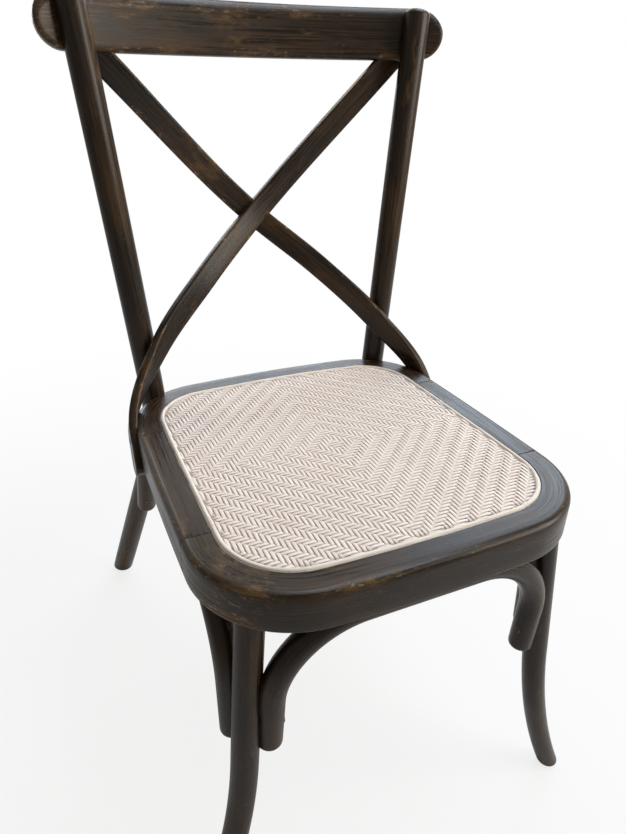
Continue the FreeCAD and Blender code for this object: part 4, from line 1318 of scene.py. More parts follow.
@dataclass
class TopRail(Assembly):
    """A curved rail with full round ends and softened edges, leaning with the posts."""

    rake: float
    length: float = 497.0
    tall: float = 59.0
    thick: float = 26.0
    curve: float = 680.0
    back: float = 231.0
    height: float = 860.5
    edge: float = 6.0
    top_edge: float = 13.5
    top_depth: float = 10.5
    core: float = 26.0
    runs: int = 40
    bows: int = 20

    def softened(self, inset: float, depth: float, above: float) -> Double:
        """Widen the rounding of the front's edge towards the rail's top.

        Args:
            inset: How far in from the rail's edge a layer is.
            depth: How far behind the front it is.
            above: 0 at mid height and below, 1 at the top.

        Returns:
            The layer's inset and depth there.
        """
        if depth > self.edge:
            return inset, depth
        if inset <= self.edge:
            wide = inset / self.edge * self.top_edge
        else:
            wide = self.top_edge + (inset - self.edge) * (self.core - self.top_edge) / (
                self.core - self.edge)
        share = ease(above)
        return (inset + (wide - inset) * share,
                depth * (1 + (self.top_depth / self.edge - 1) * share))

    def face(self, x: float, depth: float = 0.0) -> float:
        """How far behind the front's middle a curved layer lies, at a distance out."""
        return math.sqrt((self.curve + depth) ** 2 - x ** 2) - self.curve

    def stand(self, x: float, depth: float, z: float) -> Vector:
        """Stand a point of the rail in the chair.

        Args:
            x: how far across it lies.
            depth: how far behind the rail's face.
            z: how far up from the rail's height.

        Returns:
            The point in the chair's frame.
        """
        lean, y = math.radians(self.rake), self.face(x, depth)
        return Vector((x, self.back + y * math.cos(lean) + z * math.sin(lean),
                       self.height - y * math.sin(lean) + z * math.cos(lean)))

    def outline(self) -> List[Triple]:
        """Where each point of a layer turns about, counterclockwise from lower left.

        The lower run, the right end, the upper run and the left end have as many
        points as each other's opposite, so that strips can join low to high.

        Returns:
            For each point, its place on the rail's middle line, and the direction
            from there across the rail: along it and up.
        """
        half = self.length / 2 - self.tall / 2
        made = []
        for sign in (1, -1):
            made += [(sign * (2 * half * step / self.runs - half), 0.0, -sign)
                     for step in range(self.runs)]
            made += [(sign * half, sign * math.sin(turn), -sign * math.cos(turn))
                     for turn in turns(self.bows, 180.0)[:-1]]
        return made

    def layers(self) -> List[Triple]:
        """The rings that the rail's skin is drawn through.

        Returns:
            Inset, depth and wear of each ring, from the front's middle to the back's.
        """
        made = [(26.0, 0.0, 0.0), (20.0, 0.0, 0.1), (13.0, 0.0, 0.25), (8.5, 0.0, 0.5)]
        made += [(self.edge * (1 - math.sin(turn)), self.edge * (1 - math.cos(turn)), 1.0)
                 for turn in turns(5)]
        made.append((0.0, self.thick / 2, 0.35))
        return made + [(inset, self.thick - depth, wear) for inset, depth, wear in made[-2::-1]]

    def build(self) -> None:
        """Make the rail from rings round its edge and strips across its faces."""
        draft = Draft("curved_top_rail", 9)
        layers = []
        for inset, depth, wear in self.layers():
            layer = []
            for base, along, up in self.outline():
                drawn, behind = self.softened(inset, depth, max(up, 0.0))
                radius = self.tall / 2 - drawn
                x, z = base + radius * along, radius * up
                layer.append((self.stand(x, behind, z), Vector((z, behind, x)), wear))
            layers.append(layer)
        rings = draft.skin(layers)
        middle = self.runs + self.bows // 2
        for ring in (rings[0], rings[-1]):
            low, high = (
                [ring[(middle + sign * step) % len(ring)] for step in range(len(ring) // 2)]
                for sign in (-1, 1))
            draft.faces.append((low[1], low[0], high[1]))
            for step in range(1, len(low) - 1):
                draft.faces.append((low[step + 1], low[step], high[step], high[step + 1]))
            draft.faces.append((low[-1], high[-1], ring[middle - len(ring) // 2]))
        self.keep(draft.finish(), Slot.WOOD, "top_rail")


class Place(NamedTuple):
    """A place along a slat, with its width, facing and length directions, and its run."""

    centre: Vector
    width: Vector
    face: Vector
    along: Vector
    run: float


@dataclass
class CrossSlats(Assembly):
    """Two bent slats that cross, pass before the posts and twist down onto the frame."""

    rail: TopRail
    rear: RearLegs
    width: float = 30.0
    thick: float = 11.0
    corner: float = 2.5
    tuck: float = 10.0
    shift: float = 3.0
    house: float = 3.0
    post_house: float = 2.0
    top_inset: float = 19.0
    cross_height: float = 643.5
    cross_back: float = 222.0
    belly: Triple = (82.5, 180.5, 576.0)
    passing: float = 502.0
    foot_back: float = 109.0
    foot_drop: float = 17.0
    post_inside: float = 17.0
    hip: Double = (16.5, 29.0)
    shoulder: Double = (33.0, 47.0)
    round_end: float = 12.0
    tip_share: float = 0.02
    edge_wear: float = 0.9
    flat_wear: float = 0.15
    sections: int = 130

    def route(self, shift: float) -> List[Vector]:
        """Marks on the left-falling slat's centre line.

        Args:
            shift: How far back the slat lies where the two cross.

        Returns:
            The marks, from inside the rail to the slat's foot.
        """
        rail, rear = self.rail, self.rear
        under = rail.height - rail.tall / 2
        x = rear.post(under).x - self.top_inset
        lean = math.tan(math.radians(rail.rake))
        tuck = Vector((x, rail.back + rail.face(x) + rail.thick / 2 - rail.tall / 2 * lean, under))
        cross = Vector((0.0, self.cross_back + shift, self.cross_height))
        belly = Vector((-self.belly[0], self.belly[1] + shift / 2, self.belly[2]))
        post = rear.post(self.passing)
        ahead = rear.diameter / 2 + self.thick / 2 - self.post_house
        front = Vector((self.post_inside - post.x, post.y - ahead, post.z))
        back = self.foot_back + SEAT.centre_y
        low = SEAT.underside(back) - self.foot_drop
        lower = [
            Vector((-SEAT.edge_out(back + y) - self.thick / 2 + self.house, back + y, low + z))
            for y, z in (self.shoulder, self.hip, (0.0, 0.0))]
        return [tuck + unit(tuck - cross) * self.tuck, tuck, cross, belly, front, *lower]

    def stations(self, shift: float, count: int) -> List[Place]:
        """Places along the slat, on a smooth curve through its marks.

        Args:
            shift: How far back the slat lies where the two cross.
            count: How many places.

        Returns:
            The places, from inside the rail to the slat's foot.
        """
        route = self.route(shift)
        spans = [(end - start).length for start, end in zip(route, route[1:])]
        marks = [sum(spans[:number]) for number in range(len(route))]
        slopes = [(end - start) / span for start, end, span in zip(route, route[1:], spans)]
        inner = [(slope * beyond + later * span) / (span + beyond) for slope, later, span, beyond
                 in zip(slopes, slopes[1:], spans, spans[1:])]
        tangents = [slopes[0], *inner, slopes[-1]]
        made = []
        for number in range(count):
            run = marks[-1] * number / (count - 1)
            leg = max(step for step in range(len(spans)) if marks[step] <= run)
            span, (one, two), (leave, reach) = (
                spans[leg], route[leg:leg + 2], tangents[leg:leg + 2])
            t = (run - marks[leg]) / span
            centre = (
                one * (2 * t ** 3 - 3 * t ** 2 + 1) + leave * (span * (t ** 3 - 2 * t ** 2 + t))
                + two * (3 * t ** 2 - 2 * t ** 3) + reach * (span * (t ** 3 - t ** 2)))
            along = unit(
                (one - two) * (6 * (t ** 2 - t) / span) + leave * (3 * t ** 2 - 4 * t + 1)
                + reach * (3 * t ** 2 - 2 * t))
            part = min(max((run - marks[3]) / (marks[6] - marks[3]), 0.0), 1.0)
            angle = math.radians(90.0) * ease(part)
            face = Vector((math.sin(angle), -math.cos(angle), 0.0))
            face = unit(face - along * face.dot(along))
            made.append(Place(centre, along.cross(face), face, along, run))
        return made

    def section(self, half: float) -> List[Triple]:
        """The strip's section.

        Args:
            half: Half of its width.

        Returns:
            For each point: across, through, and how exposed it is.
        """
        soft = min(self.corner, half * 0.8)
        level = self.thick / 2
        flats = [(half * share, level) for share in (0.5, 0.0, -0.5)]
        between = [[(half, 0.0)], flats, [(-half, 0.0)], [(-x, -y) for x, y in flats]]
        made = []
        for (sign_x, sign_y, first), flat in zip(
                ((1, -1, -90), (1, 1, 0), (-1, 1, 90), (-1, -1, 180)), between):
            for step in range(5):
                turn = math.radians(first + 90.0 * step / 4)
                made.append((sign_x * (half - soft) + soft * math.cos(turn),
                             sign_y * (level - soft) + soft * math.sin(turn), self.edge_wear))
            made += [(*place, self.flat_wear) for place in flat]
        return made

    def draft(self, name: str, side: Side, shift: float, number: int) -> Draft:
        """One slat, with a rounded foot.

        Args:
            name: The piece's name.
            side: The side that its foot is on.
            shift: How far back it lies where the two cross.
            number: The piece's number.

        Returns:
            The draft of the slat.
        """
        draft = Draft(name, number)
        places = self.stations(shift, self.sections)
        layers = []
        for place in places:
            left = places[-1].run - place.run
            half = self.width / 2
            if left < self.round_end:
                half *= math.sqrt(max(1 - (1 - left / self.round_end) ** 2, self.tip_share))
            centre, width, face = place[:3]
            if side is Side.RIGHT:
                centre, width, face = (Side.LEFT.of(one) for one in place[:3])
            layers.append([
                (centre + width * across + face * through, Vector((across, through, place.run)),
                 wear) for across, through, wear in self.section(half)])
        draft.skin(layers, (0, -1))
        return draft

    def build(self) -> None:
        """Make the slat in front, which falls to the left, and the one behind."""
        for number, name, side, shift in (
                (11, "front", Side.LEFT, -self.shift), (12, "rear", Side.RIGHT, self.shift)):
            draft = self.draft(f"bent_slat_{name}", side, shift, number)
            self.keep(draft.finish(), Slot.WOOD, f"cross_slat_{name}")


@dataclass
class ArchBraces(Assembly):
    """Four bent round rods under the seat, each in a plane of its own."""

    front: FrontLegs
    rear: RearLegs
    diameter: float = 28.0
    bend: float = 94.0
    foot: float = 246.0
    tip: float = 5.0
    crown: float = 0.6
    house: float = 3.0
    flat: float = 1.0
    draw: float = 4.0
    side_inset: float = 0.5
    aside: float = 9.0
    tip_wear: float = 0.9
    rod_wear: float = 0.12
    rear_drop: float = 0.7
    longest: float = 12.0
    arc_step: float = 4.0
    screw_reach: float = 60.0
    screw_rise: float = 34.0
    search: Tuple[int, int, int] = (-40, 200, 2)

    def __post_init__(self) -> None:
        """Work out each brace's upward direction and the four corners of its centre line."""
        self.rod = self.diameter / 2
        self.rear_reach = self.rear.diameter / 2 + self.rod - self.house
        lean = math.atan2(self.rear.base.y - self.rear.knee.y, self.rear.knee.z)
        square = unit(SEAT.stand(UP) - SEAT.stand(Vector()))
        self.ups = {"front": UP, "rear": Vector((0.0, -math.sin(lean), math.cos(lean))),
                    "left": square, "right": square}
        drop = self.rear.foot_depth * math.tan(SEAT.turn) * self.rear_drop
        self.rear_foot = self.rear.leg(self.foot - drop)
        side = self.side_line()
        self.lines = {"front": self.front_line(), "rear": self.rear_line(),
                      "left": [Side.LEFT.of(place) for place in side], "right": side}

    def reach(self, height: float) -> float:
        """Distance between a brace's end and the front leg that it is let into."""
        return self.front.radius(height) + self.rod - self.house

    def front_line(self) -> List[Vector]:
        """The front brace's centre line.

        Returns:
            The corners, from the left tip.
        """
        y = SEAT.centre_y - SEAT.depth / 2 - SEAT.front_bow + SEAT.band / 2
        out = self.front.axis(self.foot).x - self.reach(self.foot)
        top = SEAT.underside(y) - self.rod + self.flat
        half = [Vector((out - self.draw, y, top)), Vector((out, y, self.foot))]
        return [Side.LEFT.of(place) for place in reversed(half)] + half

    def rear_line(self) -> List[Vector]:
        """The rear brace's corners, in the plane that leans with the rear legs.

        Returns:
            The corners, from the left tip.
        """
        y = SEAT.centre_y + SEAT.depth / 2 + SEAT.rear_bow - SEAT.band / 2
        top = Vector((0.0, y, SEAT.underside(y) - (self.rod - self.flat) / math.cos(SEAT.turn)))
        up = self.ups["rear"]
        beside = math.sqrt(self.rear_reach ** 2 - self.aside ** 2)
        fall = up * ((top.z - self.rear_foot.z) / up.z)
        half = [top + Vector((self.rear.leg(top.z).x - beside, 0, 0)),
                top - fall + Vector((self.rear_foot.x - beside, 0, 0))]
        return [Side.LEFT.of(place) for place in reversed(half)] + half

    def side_line(self) -> List[Vector]:
        """The right brace's centre line.

        Returns:
            The corners, from the front tip.
        """
        x, _, radius = SEAT.circles()["side"]
        out = x + radius - SEAT.band / 2 - self.side_inset
        low, high = self.front.axis(self.foot), self.front.axis(self.front.head.z - self.rod)
        rear, knee, up = self.rear_foot, self.rear.knee, self.ups["right"]
        tips = [Vector((out, low.y + self.reach(self.foot), self.foot)),
                Vector((out, rear.y - self.rear_reach, rear.z))]
        bends = [Vector((out, high.y + self.reach(self.front.head.z), high.z)),
                 Vector((out, knee.y - self.rear_reach - 1, knee.z))]
        base = Vector((0.0, SEAT.centre_y, SEAT.underside(SEAT.centre_y)))
        corners = []
        for tip, bend in zip(tips, bends):
            share = (self.flat - self.rod - (tip - base).dot(up)) / (bend - tip).dot(up)
            corners.append(tip + (bend - tip) * share)
        return [tips[0], *corners, tips[1]]

    def build(self) -> None:
        """Make the four rods."""
        for number, (name, line) in enumerate(self.lines.items(), start=14):
            path = split_runs(rounded_path(line, self.bend, self.arc_step), self.longest)
            start, stop = (
                eased_end(end, unit(end - inner), self.rod, self.tip, self.crown,
                          self.tip_wear)
                for end, inner in ((path[0], path[1]), (path[-1], path[-2])))
            stations = [replace(one, facing=-one.facing) for one in reversed(start)]
            for place, before, after in zip(path[1:-1], path, path[2:]):
                if min((place - path[0]).length, (place - path[-1]).length) > self.tip + 1:
                    stations.append(
                        Station(place, self.rod, unit(after - before), self.rod_wear))
            draft = round_member(f"bent_arch_{name}", number, stations + stop)
            self.keep(draft.finish(), Slot.WOOD, f"{name}_arch_brace")

    def frame_screws(self) -> List[Pair]:
        """The screws up into the frame.

        Returns:
            Their places and outward directions.
        """
        made = []
        for name, line in self.lines.items():
            along, up = unit(line[2] - line[1]), self.ups[name]
            middle = (line[1] + line[2]) / 2
            made += [(middle + along * sign * self.screw_reach - up * self.rod, -up)
                     for sign in (-1, 1)]
        return made

    def leg_screws(self) -> List[Pair]:
        """The screws through the ends into the legs.

        Returns:
            Their places and outward directions.
        """
        made = []
        for line in self.lines.values():
            for tip, bend in ((line[0], line[1]), (line[3], line[2])):
                along = unit(bend - tip)
                place = tip + along * self.screw_rise
                inward = self.nearest(place) - place
                inward = unit(inward - along * inward.dot(along))
                made.append((place - inward * self.rod, -inward))
        return made

    def nearest(self, place: Vector) -> Vector:
        """The nearest point of any leg's centre line below the seat.

        Args:
            place: A point near a brace's end.

        Returns:
            The leg's point.
        """
        found = []
        for height in (self.foot + rise for rise in range(*self.search)):
            for leg, top in (
                    (self.front.axis, self.front.head.z), (self.rear.leg, self.rear.knee.z)):
                if height < top:
                    found += [side.of(leg(height)) for side in Side]
        return min(found, key=lambda one: (one - place).length)


@dataclass
class SeatFrame(Assembly):
    """Four bent parts of one rounded band, with a rebate for the weave."""

    top_round: float = 8.0
    under_round: float = 2.5
    groove_inset: float = 31.4
    groove_width: float = 6.2
    groove_depth: float = 7.0
    rebate: float = 3.4
    seam_gap: float = 0.25
    seam_soft: float = 0.5
    seam_shrink: float = 0.4
    longest: float = 6.0
    worn_place: Double = (-174.0, -172.0)
    worn_reach: float = 62.0
    worn_more: float = 1.6

    def profile(self) -> List[Triple]:
        """The band's closed section.

        Returns:
            Inset, height and wear of each point.
        """
        groove, round_by, foot = self.groove_inset, self.under_round, -SEAT.thick
        made = [(groove, -self.groove_depth, 0.0), (groove, -0.8, 0.3), (groove - 0.8, 0.0, 0.75),
                (27.0, 0.0, 0.1), (21.0, 0.05, 0.0), (14.0, 0.0, 0.05)]
        made += [(self.top_round * (1 - math.sin(turn)), -self.top_round * (1 - math.cos(turn)),
                  0.35 + 0.65 * math.sin(2 * turn)) for turn in turns(6)]
        made += [(0.0, -14.0, 0.1), (0.0, -22.0, 0.05), (0.0, -32.0, 0.1)]
        made += [(round_by * (1 - math.cos(turn)), foot + round_by * (1 - math.sin(turn)), 0.7)
                 for turn in turns(3)]
        made.append((24.0, foot, 0.05))
        made += [(SEAT.band - round_by * (1 - math.sin(turn)),
                  foot + round_by * (1 - math.cos(turn)), 0.5) for turn in turns(3)]
        inner = groove + self.groove_width
        return made + [
            (SEAT.band, -20.0, 0.05), (SEAT.band, -self.rebate - 1.0, 0.2),
            (SEAT.band - 1.0, -self.rebate, 0.2), (inner, -self.rebate, 0.0),
            (inner, -self.groove_depth, 0.0)]

    def layer(self, arc: Arc, angle: float, run: float, seam: Optional[float] = None,
              shrink: float = 0.0) -> List[Spot]:
        """One section of the band.

        Args:
            arc: The arc of the outline.
            angle: The place on it.
            run: The distance along the band.
            seam: The plane that the section is flattened to, if it ends the part.
            shrink: How far the section draws in from the band's surface.

        Returns:
            The section's points.
        """
        made = []
        for inset, height, wear in self.profile():
            place = arc.at(angle, min(max(inset, shrink), SEAT.band - shrink))
            if seam is not None:
                place.y = seam
            place.z = min(max(height, shrink - SEAT.thick), -shrink)
            near = (place.xy - Vector(self.worn_place)).length / self.worn_reach
            exposed = max(wear, 0.8) if shrink else wear
            exposed += self.worn_more * max(0.0, 1.0 - near)
            made.append((SEAT.stand(place), Vector((inset, height, run)), exposed))
        return made

    def build(self) -> None:
        """Make the four parts; each end is softened just before its seam."""
        signs = {"front": (-1, -1), "right": (-1, 1), "back": (1, 1), "left": (1, -1)}
        ends = ((self.seam_gap, self.seam_shrink), (self.seam_gap + self.seam_soft, 0.0))
        for number, (name, arcs) in enumerate(SEAT.arcs().items(), start=20):
            start, stop = signs[name]
            away = 1 if start == stop else -1
            layers = [
                self.layer(arcs[0], arcs[0].first, 0.0, start * (SEAT.seam + away * gap), shrink)
                for gap, shrink in ends]
            run = 0.0
            for arc in arcs:
                length = arc.radius * (arc.last - arc.first)
                count = max(3, math.ceil(length / self.longest))
                for step in range(0 if arc is not arcs[0] else 1, count):
                    angle = arc.first + (arc.last - arc.first) * step / count
                    layers.append(self.layer(arc, angle, run + length * step / count))
                run += length
            layers += [
                self.layer(arcs[-1], arcs[-1].last, run, stop * (SEAT.seam + away * gap), shrink)
                for gap, shrink in reversed(ends)]
            draft = Draft(f"bent_frame_{name}", number)
            rings = draft.skin(layers)
            draft.faces += [tuple(rings[0]), tuple(rings[-1])]
            self.keep(draft.finish(), Slot.WOOD, f"seat_frame_{name}")


@dataclass
class SeatSpline(Assembly):
    """The half-round reed driven into the groove over the weave's edge."""

    inset: float = 31.5
    width: float = 6.0
    depth: float = 6.5
    proud: float = 1.5
    rise: float = 2.4
    shoulder: float = 0.65
    waves: Tuple[Triple, ...] = ((0.12, 23.0, 0.0), (0.08, 7.1, 1.3))
    still: float = -1.0
    wear: float = 0.3
    longest: float = 5.0
    sharp: float = 50.0

    def build(self) -> None:
        """Make the closed reed, whose top wavers by waves of a height, length and phase."""
        draft = Draft("reed_spline", 30)
        half, foot = self.width / 2, self.proud - self.rise - 0.2
        bow = [(half + (half - self.shoulder) * math.cos(math.pi - turn),
                self.proud - self.rise + self.rise * math.sin(math.pi - turn))
               for turn in turns(8, 180.0)]
        profile = [(0.0, -self.depth), (0.0, foot), *bow, (self.width, foot),
                   (self.width, -self.depth)]
        layers = []
        for place, inward, run in SEAT.loop(self.inset, self.longest):
            waver = sum(high * math.sin(run / long + phase) for high, long, phase in self.waves)
            layer = []
            for across, height in profile:
                lifted = min(height + (waver if height > self.still else 0.0), self.proud)
                layer.append((SEAT.stand(place + inward * across + UP * lifted),
                              Vector((across, height, run)), self.wear))
            layers.append(layer)
        draft.skin(layers, loop=True)
        self.keep(draft.finish(self.sharp), Slot.REED, "seat_spline")


@dataclass
class WovenSeat(Assembly):
    """Strands of cane woven three over, three under, in nested diamonds."""

    inset: float = 33.0
    pitch: float = 4.75
    wide: float = 4.45
    thick: float = 1.2
    lift: float = 0.72
    period: float = 6.0
    level: float = -1.0
    sag: float = 1.2
    sag_reach: Double = (190.0, 200.0)
    tuck: Double = (4.0, 9.5)
    tuck_drop: float = 0.9
    steep: float = 1.75
    edge_step: float = 3.0
    sides: int = 6
    seed: int = 7

    def spans(self, along_y: bool) -> List[Pair]:
        """Both ends of each strand, on the outline under the reed.

        Args:
            along_y: Whether the strands run from front to back.

        Returns:
            The strands' two ends in the seat's own frame.
        """
        edge = [place for place, _, _ in SEAT.loop(self.inset, self.edge_step)]
        held, free = (0, 1) if along_y else (1, 0)
        count = int(max(place[held] for place in edge) / self.pitch)
        made = []
        for level in (number * self.pitch for number in range(-count, count + 1)):
            hits = []
            for one, two in zip(edge, edge[1:] + edge[:1]):
                if (one[held] - level) * (two[held] - level) <= 0 and one[held] != two[held]:
                    share = (level - one[held]) / (two[held] - one[held])
                    hits.append(one[free] + (two[free] - one[free]) * share)
            if len(hits) < 2 or max(hits) - min(hits) < 2 * self.pitch:
                continue
            ends = (Vector(), Vector())
            for end, hit in zip(ends, (min(hits), max(hits))):
                end[held], end[free] = level, hit
            made.append(ends)
        return made

    def tree(self) -> bpy.types.NodeTree:
        """The node group that turns straight strands into a weave.

        Returns:
            The group.
        """
        wire = Group(
            "CaneWeave", "Geometry", Geometry="Geometry", Pitch="Float", Width="Float",
            Thickness="Float", Lift="Float", Period="Float", Sag="Float", Turn="Float",
            Seed="Int", Material="Material")

        def store(geometry: Signal, name: str, value: Signal, kind: str = "FLOAT") -> Signal:
            """Keep a value on the geometry under a name."""
            return wire.get("GeometryNodeStoreNamedAttribute", geometry, None, name, value,
                            data_type=kind, domain="POINT")

        place = wire.get("GeometryNodeInputPosition")
        x, y, z = (Signal(wire, part) for part in wire.add("ShaderNodeSeparateXYZ", place).outputs)
        diamond = wire.math("ABSOLUTE", x) + wire.math("ABSOLUTE", y)
        turn = (diamond / wire["Pitch"] + 0.5) / wire["Period"]
        wave = wire.math("SINE", turn * (2 * math.pi)) * self.steep
        wave = wire.math("MAXIMUM", wire.math("MINIMUM", wave, 1.0), -1.0) * wire["Turn"]
        curve = wire.get("GeometryNodeMeshToCurve", wire["Geometry"])
        even = wire.get("GeometryNodeResampleCurve", curve, None, wire["Pitch"] * 0.5,
                        mode="LENGTH")
        strand = wire.get("GeometryNodeCurveOfPoint")
        tone = wire.get("FunctionNodeRandomValue", None, None, strand, wire["Seed"],
                        data_type="FLOAT")
        reach = wire.vector("MULTIPLY", place, (*(1 / (far * MM) for far in self.sag_reach), 0.0))
        dip = wire.math("MAXIMUM", 1.0 - wire.vector("DOT_PRODUCT", reach, reach), 0.0)
        spot = wire.get("GeometryNodeSplineParameter", pick="Length")
        near = wire.math("MINIMUM", spot, wire.get("GeometryNodeSplineLength") - spot)
        tucked = wire.span(near, self.tuck[0] * MM, self.tuck[1] * MM, 1.0, 0.0)
        # lift and tucked also drive the cane's painted shade, under crossings and where the ends
        # tuck under the reed.
        kept = store(store(store(even, "tone", tone), "lift", wave), "tucked", tucked)
        rise = wave * wire["Lift"] - (dip * wire["Sag"] + tucked * (self.tuck_drop * MM))
        moved = wire.get("GeometryNodeSetPosition", kept, None, None,
                         wire.combine(0.0, 0.0, rise))
        upright = wire.get("GeometryNodeSetCurveNormal", moved, mode="Z_UP")
        circle = wire.get("GeometryNodeCurvePrimitiveCircle", self.sides, 1.0, mode="RADIUS")
        size = wire.combine(wire["Width"] * 0.5, wire["Thickness"] * 0.5, 1.0)
        # rim marks each strand's sides, where the cane finish paints shade between neighbouring
        # strands.
        profile = wire.get("GeometryNodeTransform", store(circle, "rim", wire.math("ABSOLUTE", x)),
                           None, None, size)
        swept = wire.get("GeometryNodeCurveToMesh", upright, profile, None, True)
        share = (wire["Turn"] + 1.0) * 0.5
        rest = 1.0 - share
        grain = wire.vector(
            "ADD",
            wire.vector("MULTIPLY", wire.combine(y, z, x), wire.combine(share, share, share)),
            wire.vector("MULTIPLY", wire.combine(x, z, y), wire.combine(rest, rest, rest)))
        return wire.paint(store(swept, "grain", grain, "FLOAT_VECTOR"))

    def build(self) -> None:
        """Weave both sets of strands and stand them in the seat."""
        group = self.tree()
        base = SEAT.stand(UP * self.level) * MM
        stood = Matrix.Translation(base) @ Matrix.Rotation(-SEAT.turn, 4, "X")
        for along_y, name in ((False, "cane_strands_across"), (True, "cane_strands_along")):
            spans = self.spans(along_y)
            lines = bpy.data.meshes.new(name + "_lines")
            lines.from_pydata([tuple(end * MM) for ends in spans for end in ends],
                              [(2 * number, 2 * number + 1) for number in range(len(spans))], [])
            settings = {
                "Pitch": self.pitch * MM, "Width": self.wide * MM,
                "Thickness": self.thick * MM, "Lift": self.lift * MM,
                "Period": self.period, "Sag": self.sag * MM,
                "Turn": -1.0 if along_y else 1.0, "Seed": self.seed + int(along_y),
                "Material": self.finishes[Slot.CANE]}
            self.keep(realized(lines, group, settings, name, stood), Slot.CANE,
                      "woven_seat_panel")


@dataclass
class Fasteners(Assembly):
    """Countersunk screws with cross recesses, one piece for each kind of place."""

    rail: TopRail
    rear: RearLegs
    slats: CrossSlats
    braces: ArchBraces
    head: float = 8.0
    leg_head: float = 12.0
    gap: float = 18.0
    crown: float = 0.45
    recess: float = 1.1
    cross: float = 0.12
    cross_reach: float = 0.6
    post_mark: float = 430.0
    back_turn: float = 0.3
    spin: float = 1.5
    sharp: float = 30.0
    fine: int = 400
    sides: int = 40
    seed: int = 3

    def places(self) -> Dict[str, Tuple[float, List[Pair]]]:
        """Where the screws are.

        Returns:
            For each node of screws: the head's diameter, and places with directions out.
        """
        rear, rail, slats = self.rear, self.rail, self.slats
        x, y, _ = SEAT.circles()["rear_corner"]
        lean = math.radians(rail.rake)
        legs, rails = [], []
        for rise in (-self.gap / 2, self.gap / 2):
            level = SEAT.underside(rear.post(self.post_mark).y) + SEAT.thick / 2
            post = rear.post(level + rise)
            out = unit(Vector((post.x - x, post.y - SEAT.centre_y - y, 0.0)))
            post_x = rear.post(rail.height + rise).x
            turn = math.asin(post_x / (rail.curve + rail.thick))
            aside = math.sin(turn) * self.back_turn
            back = unit(Vector((aside, math.cos(lean), -math.sin(lean))))
            for side in Side:
                legs.append((side.of(post + out * rear.diameter / 2), side.of(out)))
                rails.append((side.of(rail.stand(post_x, rail.thick, rise)), side.of(back)))
        feet = min((one.centre for one in slats.stations(-slats.shift, self.fine)
                    if one.centre.z < slats.passing),
                   key=lambda one: abs(one.z - SEAT.underside(one.y) - SEAT.thick / 2))
        beside = Vector((-feet.x + slats.thick / 2, feet.y, feet.z))
        middle = min(slats.stations(slats.shift, self.fine), key=lambda one: abs(one.centre.x))
        behind = unit(Vector((0.0, -middle.along.z, middle.along.y)))
        return {
            "rear_leg_screws": (self.leg_head, legs),
            "top_rail_screws": (self.head, rails),
            "slat_foot_screws": (self.head, [
                (side.of(beside), Vector((side.value, 0.0, 0.0))) for side in Side]),
            "slat_cross_screw": (
                self.head, [(middle.centre + behind * slats.thick / 2, behind)]),
            "arch_frame_screws": (self.head, self.braces.frame_screws()),
            "arch_leg_screws": (self.head, self.braces.leg_screws()),
        }

    def screw_head(self) -> bpy.types.Object:
        """A head of 1 mm radius in the plane of its own rim, with its recess.

        Returns:
            The head, which is removed once the screws are made.
        """
        draft = Draft("screw_head_form")
        crown, recess = self.crown / 4, self.recess / 4
        domed = [(1.0, 0.0), (0.94, 0.45), (0.8, 0.82)]
        domed += [(radius, 1.0) for radius in (0.62, 0.55, 0.44, 0.3, 0.17)]
        layers = []
        for radius, height in [(0.45, -0.6), (1.0, -0.06)] + [
                (radius, share * crown) for radius, share in domed]:
            layer = []
            for turn in turns(self.sides, 360.0)[:-1]:
                x, y = radius * math.cos(turn), radius * math.sin(turn)
                inside = radius < self.cross_reach and min(abs(x), abs(y)) < self.cross
                place = Vector((x, y, height - (recess if inside else 0.0)))
                layer.append((place, place, 0.0))
            layers.append(layer)
        draft.cap(draft.skin(layers, (0,))[-1], -0.05)
        return draft.finish(self.sharp)

    def tree(self) -> bpy.types.NodeTree:
        """The node group that sets a head at each point, facing out.

        Returns:
            The group.
        """
        wire = Group("ScrewHeads", "Geometry", Geometry="Geometry", Head="Object",
                     Radius="Float", Seed="Int", Material="Material")
        out = wire.get("GeometryNodeInputNamedAttribute", "out", data_type="FLOAT_VECTOR")
        facing = wire.get("FunctionNodeAlignRotationToVector", None, None, out, axis="Z")
        chance = wire.get("FunctionNodeRandomValue", None, self.spin, None, wire["Seed"],
                          data_type="FLOAT")
        spin = wire.get("FunctionNodeEulerToRotation", wire.combine(0.0, 0.0, chance))
        turned = wire.get("FunctionNodeRotateRotation", facing, spin, rotation_space="LOCAL")
        form = wire.get("GeometryNodeObjectInfo", wire["Head"], pick="Geometry")
        size = wire["Radius"] / MM
        placed = wire.get("GeometryNodeInstanceOnPoints", wire["Geometry"], None, form, None,
                          None, turned, wire.combine(size, size, size))
        return wire.paint(placed)

    def build(self) -> None:
        """Set the heads of each node of screws."""
        form, group = self.screw_head(), self.tree()
        for node, (diameter, stands) in self.places().items():
            base = bpy.data.meshes.new(node + "_points")
            base.from_pydata([tuple(place * MM) for place, _ in stands], [], [])
            out = base.attributes.new("out", "FLOAT_VECTOR", "POINT")
            out.data.foreach_set("vector", [part for _, way in stands for part in way])
            settings = {"Head": form, "Radius": diameter / 2 * MM, "Seed": self.seed,
                        "Material": self.finishes[Slot.STEEL]}
            piece = realized(base, group, settings, node.replace("screw", "driven_screw"))
            piece.data.set_sharp_from_angle(angle=math.radians(self.sharp))
            self.keep(piece, Slot.STEEL, node)
        bpy.data.objects.remove(form)


